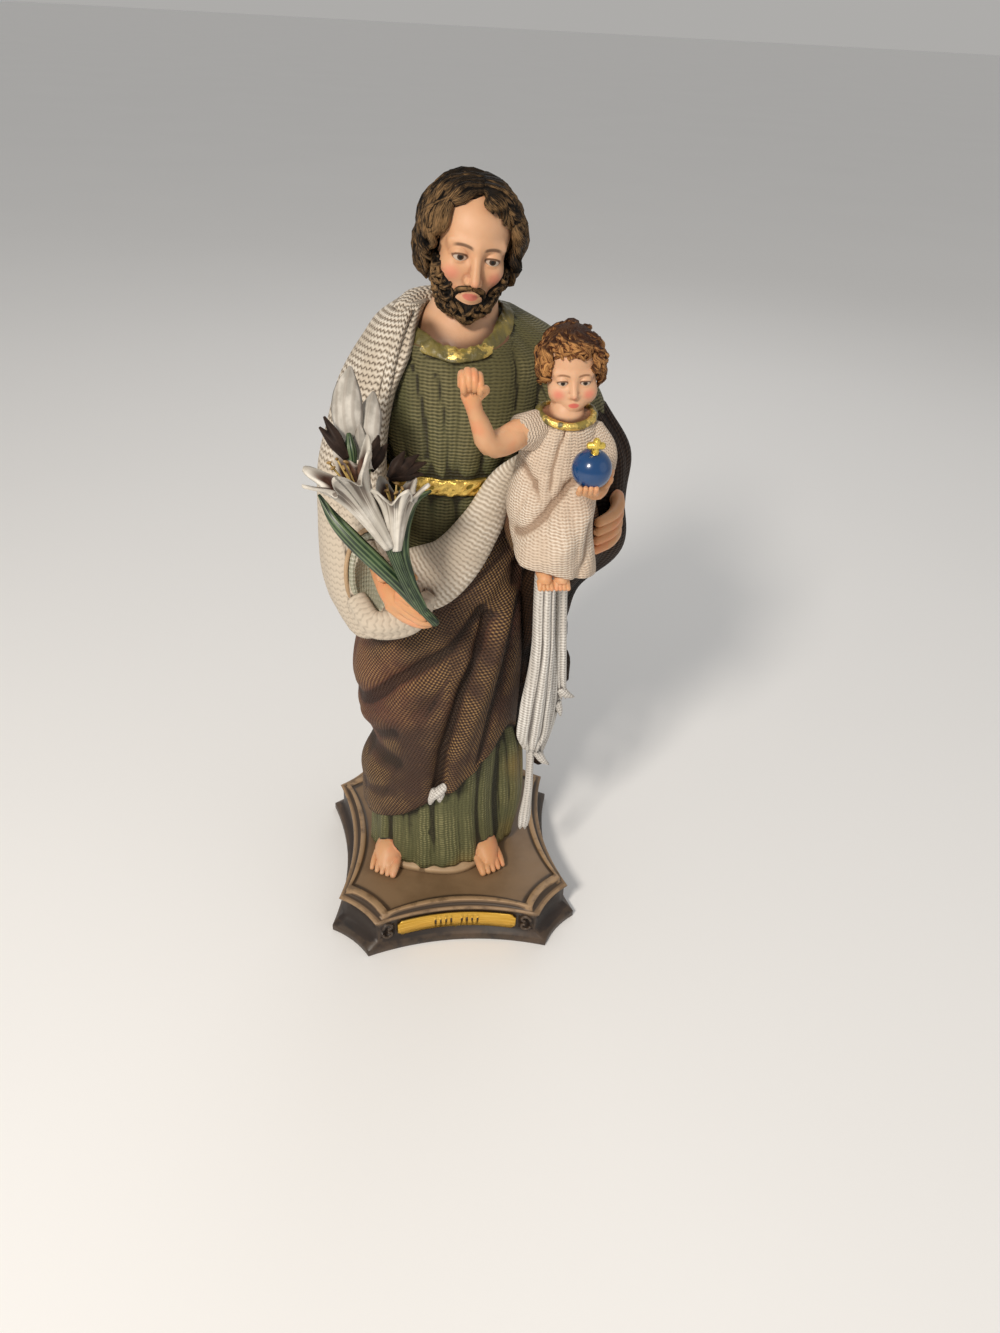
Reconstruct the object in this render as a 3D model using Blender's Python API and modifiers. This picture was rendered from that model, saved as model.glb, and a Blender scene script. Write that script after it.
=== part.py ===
"""Cast-resin statue of Saint Joseph holding the Child, on a moulded base.

+Z is up and the front faces -Y. Sizes are in metres. The figure and the lily
spray are drawn on a grid of 285 units from the ground to the crown of the hair
and are then scaled to FIGURE_HEIGHT.
"""
import math

import bmesh
import bpy
import numpy as np
from mathutils import Matrix, Vector

MM = 0.001

# Base
BASE_HEIGHT = 20.0 * MM
FOOT_WIDTH = 108.4 * MM
FOOT_DEPTH = 114.8 * MM
TOP_WIDTH = 95.2 * MM
TOP_DEPTH = 105.2 * MM
CORNER_CUT_WIDTH = 15.5 * MM
CORNER_CUT_DEPTH = 16.5 * MM
SIDE_HOLLOW = 6.5 * MM
CORNER_HOLLOW = 1.6 * MM
FOOT_FLANGE_HEIGHT = 3.6 * MM
TOP_SLAB_HEIGHT = 2.6 * MM
RIM_WIDTH = 2.2 * MM
RIM_HEIGHT = 0.7 * MM
SCROLL_RADIUS = 2.3 * MM
BAND_MARGIN = 3.0 * MM
BAND_SHARE = 0.30

# Name plate
PLATE_LENGTH = 52.0 * MM
PLATE_HEIGHT = 8.0 * MM
PLATE_THICKNESS = 0.8 * MM
PLATE_GAP = 0.3 * MM
STROKE_LENGTH = 1.5 * MM
STROKE_RELIEF = 0.25 * MM

# Figure
FIGURE_HEIGHT = 284.7 * MM
SEAT_GAP = 0.3 * MM
SPRAY_GAP = 0.3 * MM
UNITS = 285.0
UNIT = FIGURE_HEIGHT / UNITS

FIGURE_FACETS = 6300
SPRAY_FACETS = 1800

HEAD_HEIGHT = 38.5
CHILD_HEAD_HEIGHT = 26.2


# General helpers

def clear_scene():
    for thing in list(bpy.data.objects):
        bpy.data.objects.remove(thing)


def material(name, colour, roughness, metallic=0.0):
    made = bpy.data.materials.new(name)
    made.use_nodes = True
    shader = made.node_tree.nodes["Principled BSDF"]
    shader.inputs["Base Color"].default_value = (*colour, 1.0)
    shader.inputs["Roughness"].default_value = roughness
    shader.inputs["Metallic"].default_value = metallic
    made.diffuse_color = (*colour, 1.0)
    return made


def mesh_object(name, points, faces):
    """A new object whose closed shells all face outwards."""
    data = bpy.data.meshes.new(name)
    data.from_pydata([tuple(p) for p in points], [], faces)
    tidy_normals(data)
    made = bpy.data.objects.new(name, data)
    bpy.context.scene.collection.objects.link(made)
    return made


def tidy_normals(data):
    shape = bmesh.new()
    shape.from_mesh(data)
    bmesh.ops.remove_doubles(shape, verts=shape.verts, dist=1e-6)
    bmesh.ops.recalc_face_normals(shape, faces=shape.faces)
    shape.to_mesh(data)
    shape.free()


def baked(thing):
    """Replaces an object's data by what its modifiers or curves give."""
    bpy.context.view_layer.update()
    graph = bpy.context.evaluated_depsgraph_get()
    data = bpy.data.meshes.new_from_object(thing.evaluated_get(graph))
    tidy_normals(data)
    name = thing.name
    bpy.data.objects.remove(thing)
    made = bpy.data.objects.new(name, data)
    bpy.context.scene.collection.objects.link(made)
    return made


def joined(name, things):
    """One object that holds every shell of the given objects."""
    points = []
    faces = []
    for thing in things:
        first = len(points)
        place = thing.matrix_world
        points += [tuple(place @ v.co) for v in thing.data.vertices]
        faces += [[first + i for i in face.vertices] for face in thing.data.polygons]
        bpy.data.objects.remove(thing)
    data = bpy.data.meshes.new(name)
    data.from_pydata(points, [], faces)
    made = bpy.data.objects.new(name, data)
    bpy.context.scene.collection.objects.link(made)
    return made


def cut(thing, tool, operation="DIFFERENCE", solver="EXACT"):
    change = thing.modifiers.new("cut", "BOOLEAN")
    change.operation = operation
    change.solver = solver
    change.object = tool
    made = baked(thing)
    bpy.data.objects.remove(tool)
    return made


def fused(thing, grain, facets):
    """One closed skin around overlapping shells, thinned to a facet count."""
    skin = thing.modifiers.new("skin", "REMESH")
    skin.mode = "VOXEL"
    skin.voxel_size = grain
    made = baked(thing)
    data = made.data
    data.calc_loop_triangles()
    count = len(data.loop_triangles)
    thin = made.modifiers.new("thin", "DECIMATE")
    thin.ratio = min(1.0, facets / count)
    return baked(made)


def blend(rows, key):
    """Smooth values at each key from rows of (key, value, value, ...)."""
    rows = np.array(rows, float)
    keys = rows[:, 0]
    values = rows[:, 1:]
    slopes = np.gradient(values, keys, axis=0)
    key = np.clip(np.asarray(key, float), keys[0], keys[-1])
    low = np.clip(np.searchsorted(keys, key, side="right") - 1, 0, len(keys) - 2)
    span = (keys[low + 1] - keys[low])[..., None]
    s = (key[..., None] - keys[low][..., None]) / span
    start = (1 + 2 * s) * (1 - s) ** 2 * values[low]
    leave = s * (1 - s) ** 2 * span * slopes[low]
    end = s * s * (3 - 2 * s) * values[low + 1]
    arrive = s * s * (s - 1) * span * slopes[low + 1]
    return start + leave + end + arrive


def course(points, count):
    """A smooth line through points (x, y, z, radius or more)."""
    points = np.array(points, float)
    steps = np.linalg.norm(np.diff(points[:, :3], axis=0), axis=1)
    run = np.concatenate([[0.0], np.cumsum(steps)])
    rows = np.column_stack([run, points])
    return blend(rows, np.linspace(0.0, run[-1], count))


def grid_faces(rings, around):
    faces = []
    for i in range(rings - 1):
        for j in range(around):
            k = (j + 1) % around
            low = i * around
            high = low + around
            faces.append((low + j, low + k, high + k, high + j))
    return faces


def capped(name, rings):
    """A closed solid from a stack of rings with the same number of points."""
    rings = np.asarray(rings, float)
    count, around = rings.shape[:2]
    points = list(rings.reshape(-1, 3))
    faces = grid_faces(count, around)
    for row in (0, count - 1):
        middle = len(points)
        points.append(rings[row].mean(axis=0))
        for j in range(around):
            faces.append((row * around + j, row * around + (j + 1) % around, middle))
    return mesh_object(name, points, faces)


def ellipsoid(name, centre, radii, turn=(0, 0, 0), rings=12):
    shape = bmesh.new()
    bmesh.ops.create_uvsphere(shape, u_segments=2 * rings, v_segments=rings, radius=1.0)
    data = bpy.data.meshes.new(name)
    shape.to_mesh(data)
    shape.free()
    size = Matrix.Diagonal((*radii, 1.0))
    spin = Matrix.Rotation(math.radians(turn[2]), 4, "Z")
    spin = spin @ Matrix.Rotation(math.radians(turn[0]), 4, "X")
    spin = spin @ Matrix.Rotation(math.radians(turn[1]), 4, "Y")
    data.transform(Matrix.Translation(centre) @ spin @ size)
    made = bpy.data.objects.new(name, data)
    bpy.context.scene.collection.objects.link(made)
    return made


def tubes(name, lines, roundness=1, count=10):
    """Closed tapered tubes along lines of (x, y, z, radius) points."""
    data = bpy.data.curves.new(name, "CURVE")
    data.dimensions = "3D"
    data.bevel_depth = 1.0
    data.bevel_resolution = roundness
    data.use_fill_caps = True
    for line in lines:
        points = course(line, count)
        spline = data.splines.new("POLY")
        spline.points.add(len(points) - 1)
        for point, (x, y, z, radius) in zip(spline.points, points):
            point.co = (x, y, z, 1.0)
            point.radius = max(radius, 0.2)
    made = bpy.data.objects.new(name, data)
    bpy.context.scene.collection.objects.link(made)
    return baked(made)


# Cloth

def garment(name, sections, low, high, fold, around=72, rings=40):
    """A closed robe from level sections (z, x, y, left, right, front, back).

    low and high give the hem and top height at each angle, and fold gives
    the outward push at each (angle, x, z).
    """
    angle = np.linspace(0.0, 2 * math.pi, around, endpoint=False)
    share = np.linspace(0.0, 1.0, rings)[:, None]
    z = low(angle)[None, :] * (1 - share) + high(angle)[None, :] * share
    value = blend(sections, z)
    across = np.cos(angle)[None, :]
    along = np.sin(angle)[None, :]
    wide = np.where(across > 0, value[..., 3], value[..., 2])
    deep = np.where(along > 0, value[..., 5], value[..., 4])
    x = value[..., 0] + wide * across
    y = value[..., 1] + deep * along
    push = fold(np.broadcast_to(angle, z.shape), x, z)
    return capped(name, np.stack([x + push * across, y + push * along, z], axis=-1))


def level(height):
    return lambda angle: np.full_like(angle, height)


def pleat(phase):
    """Broad round ridges with narrow valleys, from -0.64 to 0.36."""
    return np.abs(np.cos(phase)) - 0.64


def ribbon(name, path, half_width, half_depth, ridges, rise, count=26, around=28, ends=None):
    """A thick folded band along path rows (x, y, z, tilt in degrees)."""
    rows = course(path, count)
    share = np.linspace(0.0, 1.0, count)
    wide = blend(half_width, share)[:, 0]
    deep = blend(half_depth, share)[:, 0]
    ahead = np.gradient(rows[:, :3], axis=0)
    ahead /= np.linalg.norm(ahead, axis=1)[:, None]
    angle = np.linspace(0.0, 2 * math.pi, around, endpoint=False)
    edge_calm = 0.3 + 0.7 * np.abs(np.sin(angle))
    rings = []
    for i in range(count):
        tilt = math.radians(rows[i, 3])
        outward = np.array([math.sin(tilt), -math.cos(tilt), 0.0])
        side = np.cross(ahead[i], outward)
        side /= np.linalg.norm(side)
        outward = np.cross(side, ahead[i])
        push = rise * pleat(ridges * np.cos(angle) * 1.6 + 0.4) * edge_calm
        across = wide[i] * np.cos(angle)
        depth = (deep[i] + push) * np.sin(angle)
        ring = rows[i, :3] + across[:, None] * side + depth[:, None] * outward
        if ends is not None:
            ring = ring + ends(np.cos(angle), share[i])[:, None] * ahead[i]
        rings.append(ring)
    return capped(name, rings)


def jagged(points, depth):
    """A hem that zigzags across the last part of a ribbon."""
    def shift(across, share):
        wave = np.abs((across * points * 0.5 + 0.25) % 1.0 - 0.5) * 2.0
        return depth * share ** 8 * (wave - 0.5)
    return shift


def crease(x, z, line, width):
    """How near, from 0 to 1, a point lies to a line of (x, z) places."""
    line = np.array(line, float)
    near = np.full(np.shape(x), 1e9)
    for start, end in zip(line[:-1], line[1:]):
        run = end - start
        along = np.clip(((x - start[0]) * run[0] + (z - start[1]) * run[1]) / (run @ run), 0.0, 1.0)
        far = np.hypot(x - start[0] - along * run[0], z - start[1] - along * run[1])
        near = np.minimum(near, far)
    return np.exp(-(near / width) ** 2)


def tunic_fold(angle, x, z):
    hem = np.clip((60.0 - z) / 60.0, 0.0, 1.0)
    sway = 0.25 * np.sin(z / 19.0)
    return (0.7 + 2.6 * hem) * pleat(8.5 * angle + sway) + 0.5 * hem * np.cos(5 * angle + 1.0)


def chest_fold(angle, x, z):
    near = np.exp(-((z - 188.0) / 22.0) ** 2)
    push = (0.3 + 0.7 * near) * pleat(9.0 * angle + 0.02 * (z - 180.0))
    for line in CHEST_CREASES:
        push = push - front_share(angle) * crease(x, z, line, 1.2)
    return push


def wrap_top(angle):
    x = -5.0 + 30.0 * np.cos(angle)
    front = np.interp(x, [-35, -21, -9, 2, 13, 25], [148, 148, 150, 161, 178, 176])
    share = np.clip(0.5 - 1.6 * np.sin(angle), 0.0, 1.0)
    return front * share + 172.0 * (1 - share)


def front_share(angle):
    return np.clip(0.5 - 0.9 * np.sin(angle), 0.0, 1.0)


def wrap_hem(angle):
    x = -5.0 + 33.0 * np.cos(angle)
    front = np.interp(x, [-38, -30, -20, -9, 2, 10, 22, 28], [25, 30, 33.5, 38, 50, 60, 78, 88])
    share = front_share(angle)
    return front * share + 27.0 * (1 - share)


# Lines of (x, z) places along the valleys of the tunic
CHEST_CREASES = (
    ((-20, 230), (-17, 222), (-14.5, 209), (-13.8, 196)),
    ((-10, 223), (-7.5, 210), (-5.8, 189)),
    ((5.1, 204), (6.3, 194)),
    ((16, 236), (18, 222), (18, 212)),
)

# Lines of (x, z) places along the wrap's folds, with their width and their depth, negative for a ridge
WRAP_CREASES = (
    (((3, 137), (-4, 124), (-26, 110), (-42, 99)), 3.2, 4.0),
    (((-39, 93), (-18, 106), (4, 129)), 4.0, -1.8),
    (((6, 113), (-8, 89), (-24, 83), (-40, 80)), 3.0, 3.2),
    (((12, 132), (0.5, 98), (-6.6, 72), (-8.6, 52)), 2.8, 5.0),
    (((20, 140), (9, 100), (0, 70), (-2, 48)), 3.2, -2.6),
    (((22, 152), (21, 113), (14, 84), (10, 62)), 2.4, 3.4),
    (((-14, 74), (-28, 61), (-42, 52)), 2.6, 1.8),
    (((-12, 56), (-26, 44), (-42, 38)), 2.4, 1.6),
)


def wrap_fold(angle, x, z):
    """Swags that fan out down to the left from below the Child."""
    dx = x - 30.0
    dz = 170.0 - z
    reach = np.hypot(dx, dz)
    fan = np.arctan2(-dx, np.maximum(dz, 1.0))
    size = np.clip(reach / 70.0, 0.25, 1.0)
    swag = 1.5 * size * pleat(8.2 * fan + 0.35 * np.sin(reach / 24.0) + 0.5)
    swag += 1.0 * size * pleat(17.0 * fan + 1.1 + reach / 60.0)
    for line, width, depth in WRAP_CREASES:
        swag = swag - depth * crease(x, z, line, width)
    knee = 2.5 * np.exp(-((x + 17.0) / 11.0) ** 2 - ((z - 78.0) / 20.0) ** 2)
    waist = 2.0 * np.exp(-((z - 62.0) / 7.0) ** 2) * np.clip(-np.cos(angle), 0.0, 1.0) ** 2
    back = 1.8 * pleat(6.0 * angle + 0.01 * z)
    share = front_share(angle)
    return (swag + knee) * share + back * (1 - share) - waist


def arm_fold(angle, x, z):
    """Long swags that hang around the bent right arm."""
    drop = np.clip((210.0 - z) / 60.0, 0.0, 1.0)
    turn = angle * 3.0 + (z - 130.0) / 26.0
    return (0.5 + 1.7 * drop) * pleat(turn)


def cloak_fold(angle, x, z):
    return 1.8 * pleat(4.0 * angle + z / 30.0) + 0.9 * np.cos(z / 6.0 + 2 * angle)


def child_fold(angle, x, z):
    lap = np.clip((205.0 - z) / 25.0, 0.0, 1.0)
    fan = np.arctan2(x - 27.0, 205.0 - np.minimum(z, 203.0))
    front = front_share(angle)
    push = (0.3 + 0.9 * lap) * pleat(4.0 * fan + 2.0 * angle)
    taper = np.clip((x - 8.0) / 12.0, 0.0, 1.0)
    push = push - 3.0 * taper * front * crease(x, z, ((32, 199), (23, 191), (13.5, 182)), 2.0)
    push = push + 2.4 * front * crease(x, z, ((36, 190), (27, 182), (19, 174)), 5.0)
    push = push - 1.4 * front * crease(x, z, ((14, 205), (19, 199), (21, 194)), 1.6)
    return push - 1.6 * front * crease(x, z, ((37, 187), (37, 177), (34, 168)), 1.6)


# Heads

def soft_join(a, b, k):
    h = np.clip(0.5 + 0.5 * (b - a) / k, 0.0, 1.0)
    return b + (a - b) * h - k * h * (1 - h)


def soft_cut(a, b, k):
    return -soft_join(-a, b, k)


def egg(p, centre, radii):
    q = (p - np.array(centre)) / np.array(radii)
    far = np.linalg.norm(q, axis=-1)
    steep = np.linalg.norm(q / np.array(radii), axis=-1)
    return far * (far - 1.0) / np.maximum(steep, 1e-6)


def limb(p, a, b, radius_a, radius_b):
    a = np.array(a)
    b = np.array(b)
    along = np.clip(((p - a) @ (b - a)) / ((b - a) @ (b - a)), 0.0, 1.0)
    near = a + along[..., None] * (b - a)
    return np.linalg.norm(p - near, axis=-1) - (radius_a + (radius_b - radius_a) * along)


def face_field(p, full):
    """Signed distance to a head one unit high, with its face towards -Y.

    full runs from 0 for a grown man to 1 for a small child, whose features
    sit lower and whose cheeks are rounder.
    """
    p = np.array(p)
    p[..., 0] = np.abs(p[..., 0])
    d = egg(p, (0, 0.07, 0.13), (0.345, 0.43, 0.37))
    d = soft_join(d, egg(p, (0, -0.08, -0.14), (0.275 + 0.03 * full, 0.30, 0.35 - 0.01 * full)), 0.08)
    d = soft_join(d, egg(p, (0, -0.15, -0.33 + 0.01 * full), (0.20 + 0.045 * full, 0.22, 0.165)), 0.06)
    d = soft_join(d, egg(p, (0, -0.325 + 0.02 * full, -0.42), (0.085, 0.08, 0.075)), 0.07)
    cheek = (0.165, -0.25, -0.11 - 0.10 * full)
    d = soft_join(d, egg(p, cheek, (0.10 + 0.025 * full, 0.11, 0.10 + 0.02 * full)), 0.09)
    q = p.copy()
    q[..., 2] += 0.05 * full
    brow = limb(q, (0.0, -0.345 + 0.02 * full, 0.075), (0.21, -0.27, 0.085), 0.05, 0.04)
    d = soft_join(d, brow, 0.06)
    eye = np.array((0.14, -0.285, -0.005))
    d = soft_cut(d, egg(q, (0.14, -0.42, -0.005), (0.088, 0.085, 0.06)), 0.05)
    d = soft_join(d, egg(q, eye, (0.078, 0.082, 0.078)), 0.012)
    lid_line = 0.022 - 3.5 * (q[..., 0] - 0.14) ** 2
    upper = np.maximum(egg(q, eye, (0.088, 0.094, 0.09)), lid_line - q[..., 2])
    d = soft_join(d, upper, 0.006)
    lower = np.maximum(egg(q, eye, (0.085, 0.089, 0.085)), q[..., 2] + 0.040)
    d = soft_join(d, lower, 0.010)
    tip = (0, -0.475 + 0.045 * full, -0.165 + 0.02 * full)
    d = soft_join(d, limb(q, (0, -0.345 + 0.02 * full, 0.05), tip, 0.032, 0.042), 0.045)
    nostril = (0.045, -0.405 + 0.03 * full, -0.185 + 0.02 * full)
    d = soft_join(d, egg(q, nostril, (0.034, 0.045, 0.03)), 0.02)
    d = soft_join(d, egg(q, (0, -0.31, -0.30 + 0.02 * full), (0.13, 0.09, 0.10)), 0.06)
    q[..., 2] -= 0.02 * full
    d = soft_join(d, egg(q, (0, -0.375, -0.282), (0.082, 0.042, 0.022)), 0.018)
    d = soft_join(d, egg(q, (0, -0.37, -0.325), (0.066, 0.044, 0.026)), 0.018)
    d = soft_cut(d, limb(q, (0, -0.425, -0.303), (0.09, -0.385, -0.300), 0.008, 0.005), 0.012)
    return soft_join(d, egg(p, (0.345, 0.03, -0.06), (0.035, 0.07, 0.11)), 0.02)


def skull_field(p):
    d = egg(p, (0, 0.07, 0.13), (0.345, 0.43, 0.37))
    return soft_join(d, egg(p, (0, 0.04, -0.08), (0.31, 0.36, 0.36)), 0.06)


def cast_out(field, directions):
    """Distance from the middle of the head to its skin along directions."""
    low = np.full(directions.shape[:-1], 0.02)
    high = np.full(directions.shape[:-1], 0.9)
    for _ in range(20):
        middle = 0.5 * (low + high)
        inside = field(directions * middle[..., None]) < 0
        low = np.where(inside, middle, low)
        high = np.where(inside, high, middle)
    return 0.5 * (low + high)


def head_place(centre, height, yaw, pitch, roll):
    place = Matrix.Translation(centre) @ Matrix.Rotation(math.radians(yaw), 4, "Z")
    place = place @ Matrix.Rotation(math.radians(pitch), 4, "X")
    place = place @ Matrix.Rotation(math.radians(roll), 4, "Y")
    return np.array(place @ Matrix.Scale(height, 4))


def placed(place, points):
    points = np.asarray(points, float)
    return points @ place[:3, :3].T + place[:3, 3]


def head(name, place, full, rings=64, around=72):
    """The head's skin."""
    ways = around_head(rings, around, 1.35)
    reach = cast_out(lambda p: face_field(p, full), ways)
    return capped(name, placed(place, ways * reach[..., None]))


def heading(turn, rise):
    """Unit vector, with turn from the face round to the side, in degrees."""
    turn = np.radians(turn)
    rise = np.radians(rise)
    return np.stack([np.sin(turn) * np.cos(rise), -np.cos(turn) * np.cos(rise), np.sin(rise)], axis=-1)


def strand(place, start, middle, end, lift, girth, wave, waves, phase, count=13):
    """A wavy lock laid over the skull along three headings."""
    share = np.linspace(0.0, 1.0, count)
    mix = share[:, None]
    first = np.array(start) * (1 - mix) + np.array(middle) * mix
    second = np.array(middle) * (1 - mix) + np.array(end) * mix
    way = first * (1 - mix) + second * mix
    way /= np.linalg.norm(way, axis=1)[:, None]
    side = np.cross(way, np.gradient(way, axis=0))
    side /= np.linalg.norm(side, axis=1)[:, None] + 1e-9
    grow = np.clip(share * 1.6, 0.0, 1.0)
    turn = waves * 2 * math.pi * share + phase
    way = way + side * (wave * np.sin(turn) * grow)[:, None]
    way /= np.linalg.norm(way, axis=1)[:, None]
    height = np.interp(share, [0, 0.45, 0.85, 1], lift) + 0.22 * wave * np.cos(turn) * grow
    thick = np.interp(share, [0, 0.25, 0.7, 1], girth)
    reach = cast_out(skull_field, way) + height
    scale = np.linalg.norm(place[:3, 0])
    return np.column_stack([placed(place, way * reach[:, None]), thick * scale])


def joseph_hair(place, seed):
    """Layers of wavy locks from a middle parting down to the jaw."""
    random = np.random.default_rng(seed)
    lines = []
    for side in (-1, 1):
        for layer, count in enumerate((15, 17, 13)):
            for i in range(count):
                share = i / (count - 1)
                top = heading(5.0 * side - 4.0, 70.0 + 58.0 * share)
                middle = heading(side * (58.0 + 96.0 * share), 46.0 - 12.0 * share)
                if layer == 2:
                    top = heading(side * (54.0 + 112.0 * share), 40.0 + random.uniform(-12, 12))
                    middle = heading(side * (68.0 + 98.0 * share), 8.0)
                turn = 70.0 + 106.0 * share + random.uniform(-6, 6)
                drop = -34.0 - 10.0 * share + random.uniform(-10, 8)
                if share < 0.1:
                    drop = random.uniform(-20, -8)
                end = heading(side * turn, drop)
                lift = np.array([0.01, 0.035, 0.085, 0.07]) + (0.0, 0.018, 0.035)[layer]
                lift = lift + random.uniform(-0.012, 0.018)
                girth = np.array([0.03, 0.048, 0.05, 0.018]) * random.uniform(0.85, 1.15)
                wave = random.uniform(0.08, 0.14)
                phase = random.uniform(0, 6.3)
                waves = random.uniform(1.6, 2.4)
                lines.append(strand(place, top, middle, end, lift, girth, wave, waves, phase))
    for i in range(5):
        end = heading(13.0 + 9.0 * i, 46.0 - 2.0 * i)
        middle = heading(7.0 + 6.0 * i, 62.0)
        lift = (0.02, 0.05, 0.05, 0.03)
        girth = (0.026, 0.038, 0.034, 0.014)
        lines.append(strand(place, heading(-6.0, 74.0), middle, end, lift, girth, 0.07, 1.0, i))
    return lines


def child_hair(place, seed):
    """Short tousled curls that spread from the crown."""
    random = np.random.default_rng(seed)
    lines = []
    for layer, count in enumerate((60, 46)):
        for i in range(count):
            share = (i + 0.5) / count
            turn = (i * 137.5) % 360.0 - 180.0
            edge = 38.0 if abs(turn) < 50 else 4.0 - 34.0 * min(1.0, (abs(turn) - 50.0) / 50.0)
            start = 84.0 - (84.0 - edge - 24.0) * math.sqrt(share)
            end = max(start - random.uniform(34, 48), edge + random.uniform(-6, 6))
            top = heading(turn + random.uniform(-14, 14), start)
            tip = heading(turn + random.uniform(-20, 20), end)
            middle = heading(turn, 0.5 * (start + end))
            lift = np.array([0.02, 0.05, 0.06, 0.03]) + 0.018 * layer + random.uniform(-0.01, 0.015)
            lift = lift * (0.4 if start > 60 else 1.0)
            girth = np.array([0.034, 0.052, 0.048, 0.02]) * random.uniform(0.85, 1.1)
            phase = random.uniform(0, 6.3)
            wave = random.uniform(0.08, 0.15)
            lines.append(strand(place, top, middle, tip, lift, girth, wave, 1.4, phase, 9))
    return lines


def bearded(turn, rise):
    """1 where the beard grows, 0 on bare skin, for headings in degrees."""
    turn = np.abs(turn)
    low = np.clip((-40.0 - rise) / 4.0, 0.0, 1.0)
    bare = 27.0 + (rise + 40.0) * 0.9
    side = np.clip((turn - bare) / 5.0, 0.0, 1.0) * np.clip((-8.0 - rise) / 6.0, 0.0, 1.0)
    return np.maximum(low, side) * np.clip((94.0 - turn) / 10.0, 0.0, 1.0)


def jaw_reach(way):
    """Distance to the skin, or to the pad of the beard where it grows."""
    turn = np.degrees(np.arctan2(way[..., 0], -way[..., 1]))
    rise = np.degrees(np.arcsin(np.clip(way[..., 2], -1.0, 1.0)))
    return cast_out(lambda p: face_field(p, 0.0), way) + 0.055 * bearded(turn, rise) - 0.015


def beard(place, seed):
    """Short curls over the jaw, with a moustache above the lip."""
    random = np.random.default_rng(seed)
    lines = []
    scale = np.linalg.norm(place[:3, 0])
    for row, rise in enumerate((-14, -22, -30, -37, -44, -50, -57, -65, -74)):
        for turn in np.arange(-84.0, 85.0, 10.0 + 0.9 * row):
            at = turn + random.uniform(-3, 3)
            if bearded(at, rise) < 0.5:
                continue
            share = np.linspace(0.0, 1.0, 6)
            turns = at + 7.0 * np.sin(5.2 * share + random.uniform(0, 6.3))
            way = heading(turns, rise - 12.0 * share)
            out = jaw_reach(way) + np.interp(share, [0, 0.5, 1], [0.0, 0.02, 0.005])
            thick = np.interp(share, [0, 0.5, 1], [0.022, 0.032, 0.014]) * scale
            lines.append(np.column_stack([placed(place, way * out[:, None]), thick]))
    thick = np.array([0.012, 0.020, 0.020, 0.010]) * scale
    for side in (-1, 1):
        for i in range(5):
            points = [(0.010, -0.43 + 0.008 * i, -0.235 - 0.004 * i),
                      (0.055, -0.42 + 0.012 * i, -0.245 - 0.008 * i),
                      (0.110, -0.38 + 0.012 * i, -0.275 - 0.016 * i),
                      (0.150, -0.325, -0.33 - 0.018 * i)]
            points = np.array(points) * (side, 1, 1)
            lines.append(np.column_stack([placed(place, points), thick]))
    return lines


def around_head(rings, around, closer):
    """Directions over a whole head, closer together over the face."""
    share = np.linspace(0.0, 1.0, rings + 2)[1:-1]
    tilt = math.pi * share ** closer
    angle = np.linspace(0.0, 2 * math.pi, around, endpoint=False)
    tilt, angle = np.meshgrid(tilt, angle, indexing="ij")
    return np.stack([np.sin(tilt) * np.cos(angle), -np.cos(tilt), np.sin(tilt) * np.sin(angle)], axis=-1)


# The figure

def bare_foot(name, heel, toe, width):
    """A foot with five toes, from the heel to the tip of the great toe."""
    heel = np.array(heel, float)
    toe = np.array(toe, float)
    ahead = (toe - heel) / np.linalg.norm(toe - heel)
    side = np.array([ahead[1], -ahead[0], 0.0])
    lines = [[(*heel, 6.0), (*(heel * 0.5 + toe * 0.5 + (0, 0, 1.5)), 6.4), (*(toe - 5 * ahead), 4.0)]]
    inner = -1 if width > 0 else 1
    for i in range(5):
        shift = (i - 1.6) * abs(width) * 0.24
        tip = toe + inner * -side * shift - ahead * (0.9 * i * i * 0.28)
        root = tip - ahead * 7.0 + (0, 0, 1.2)
        size = (2.3, 1.75, 1.65, 1.55, 1.4)[i]
        knuckle = tip - ahead * 2.2 + (0, 0, 0.8)
        lines.append([(*root, size * 1.05), (*knuckle, size), (*tip, size * 0.75)])
    return tubes(name, lines, roundness=2, count=7)


def skirt_hem(angle):
    return 2.0 + 1.5 * np.abs(np.cos(2.5 * angle))


def tunic_top(angle):
    return 239.5 - 9.0 * np.clip(-np.sin(angle), 0, 1) ** 1.5


def robe_hem(angle):
    return 170.3 - 3.6 * np.cos(angle) + 1.2 * np.abs(np.sin(2.5 * angle))


def robe_top(angle):
    return 220.0 - 3.0 * np.clip(-np.sin(angle), 0, 1)


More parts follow.
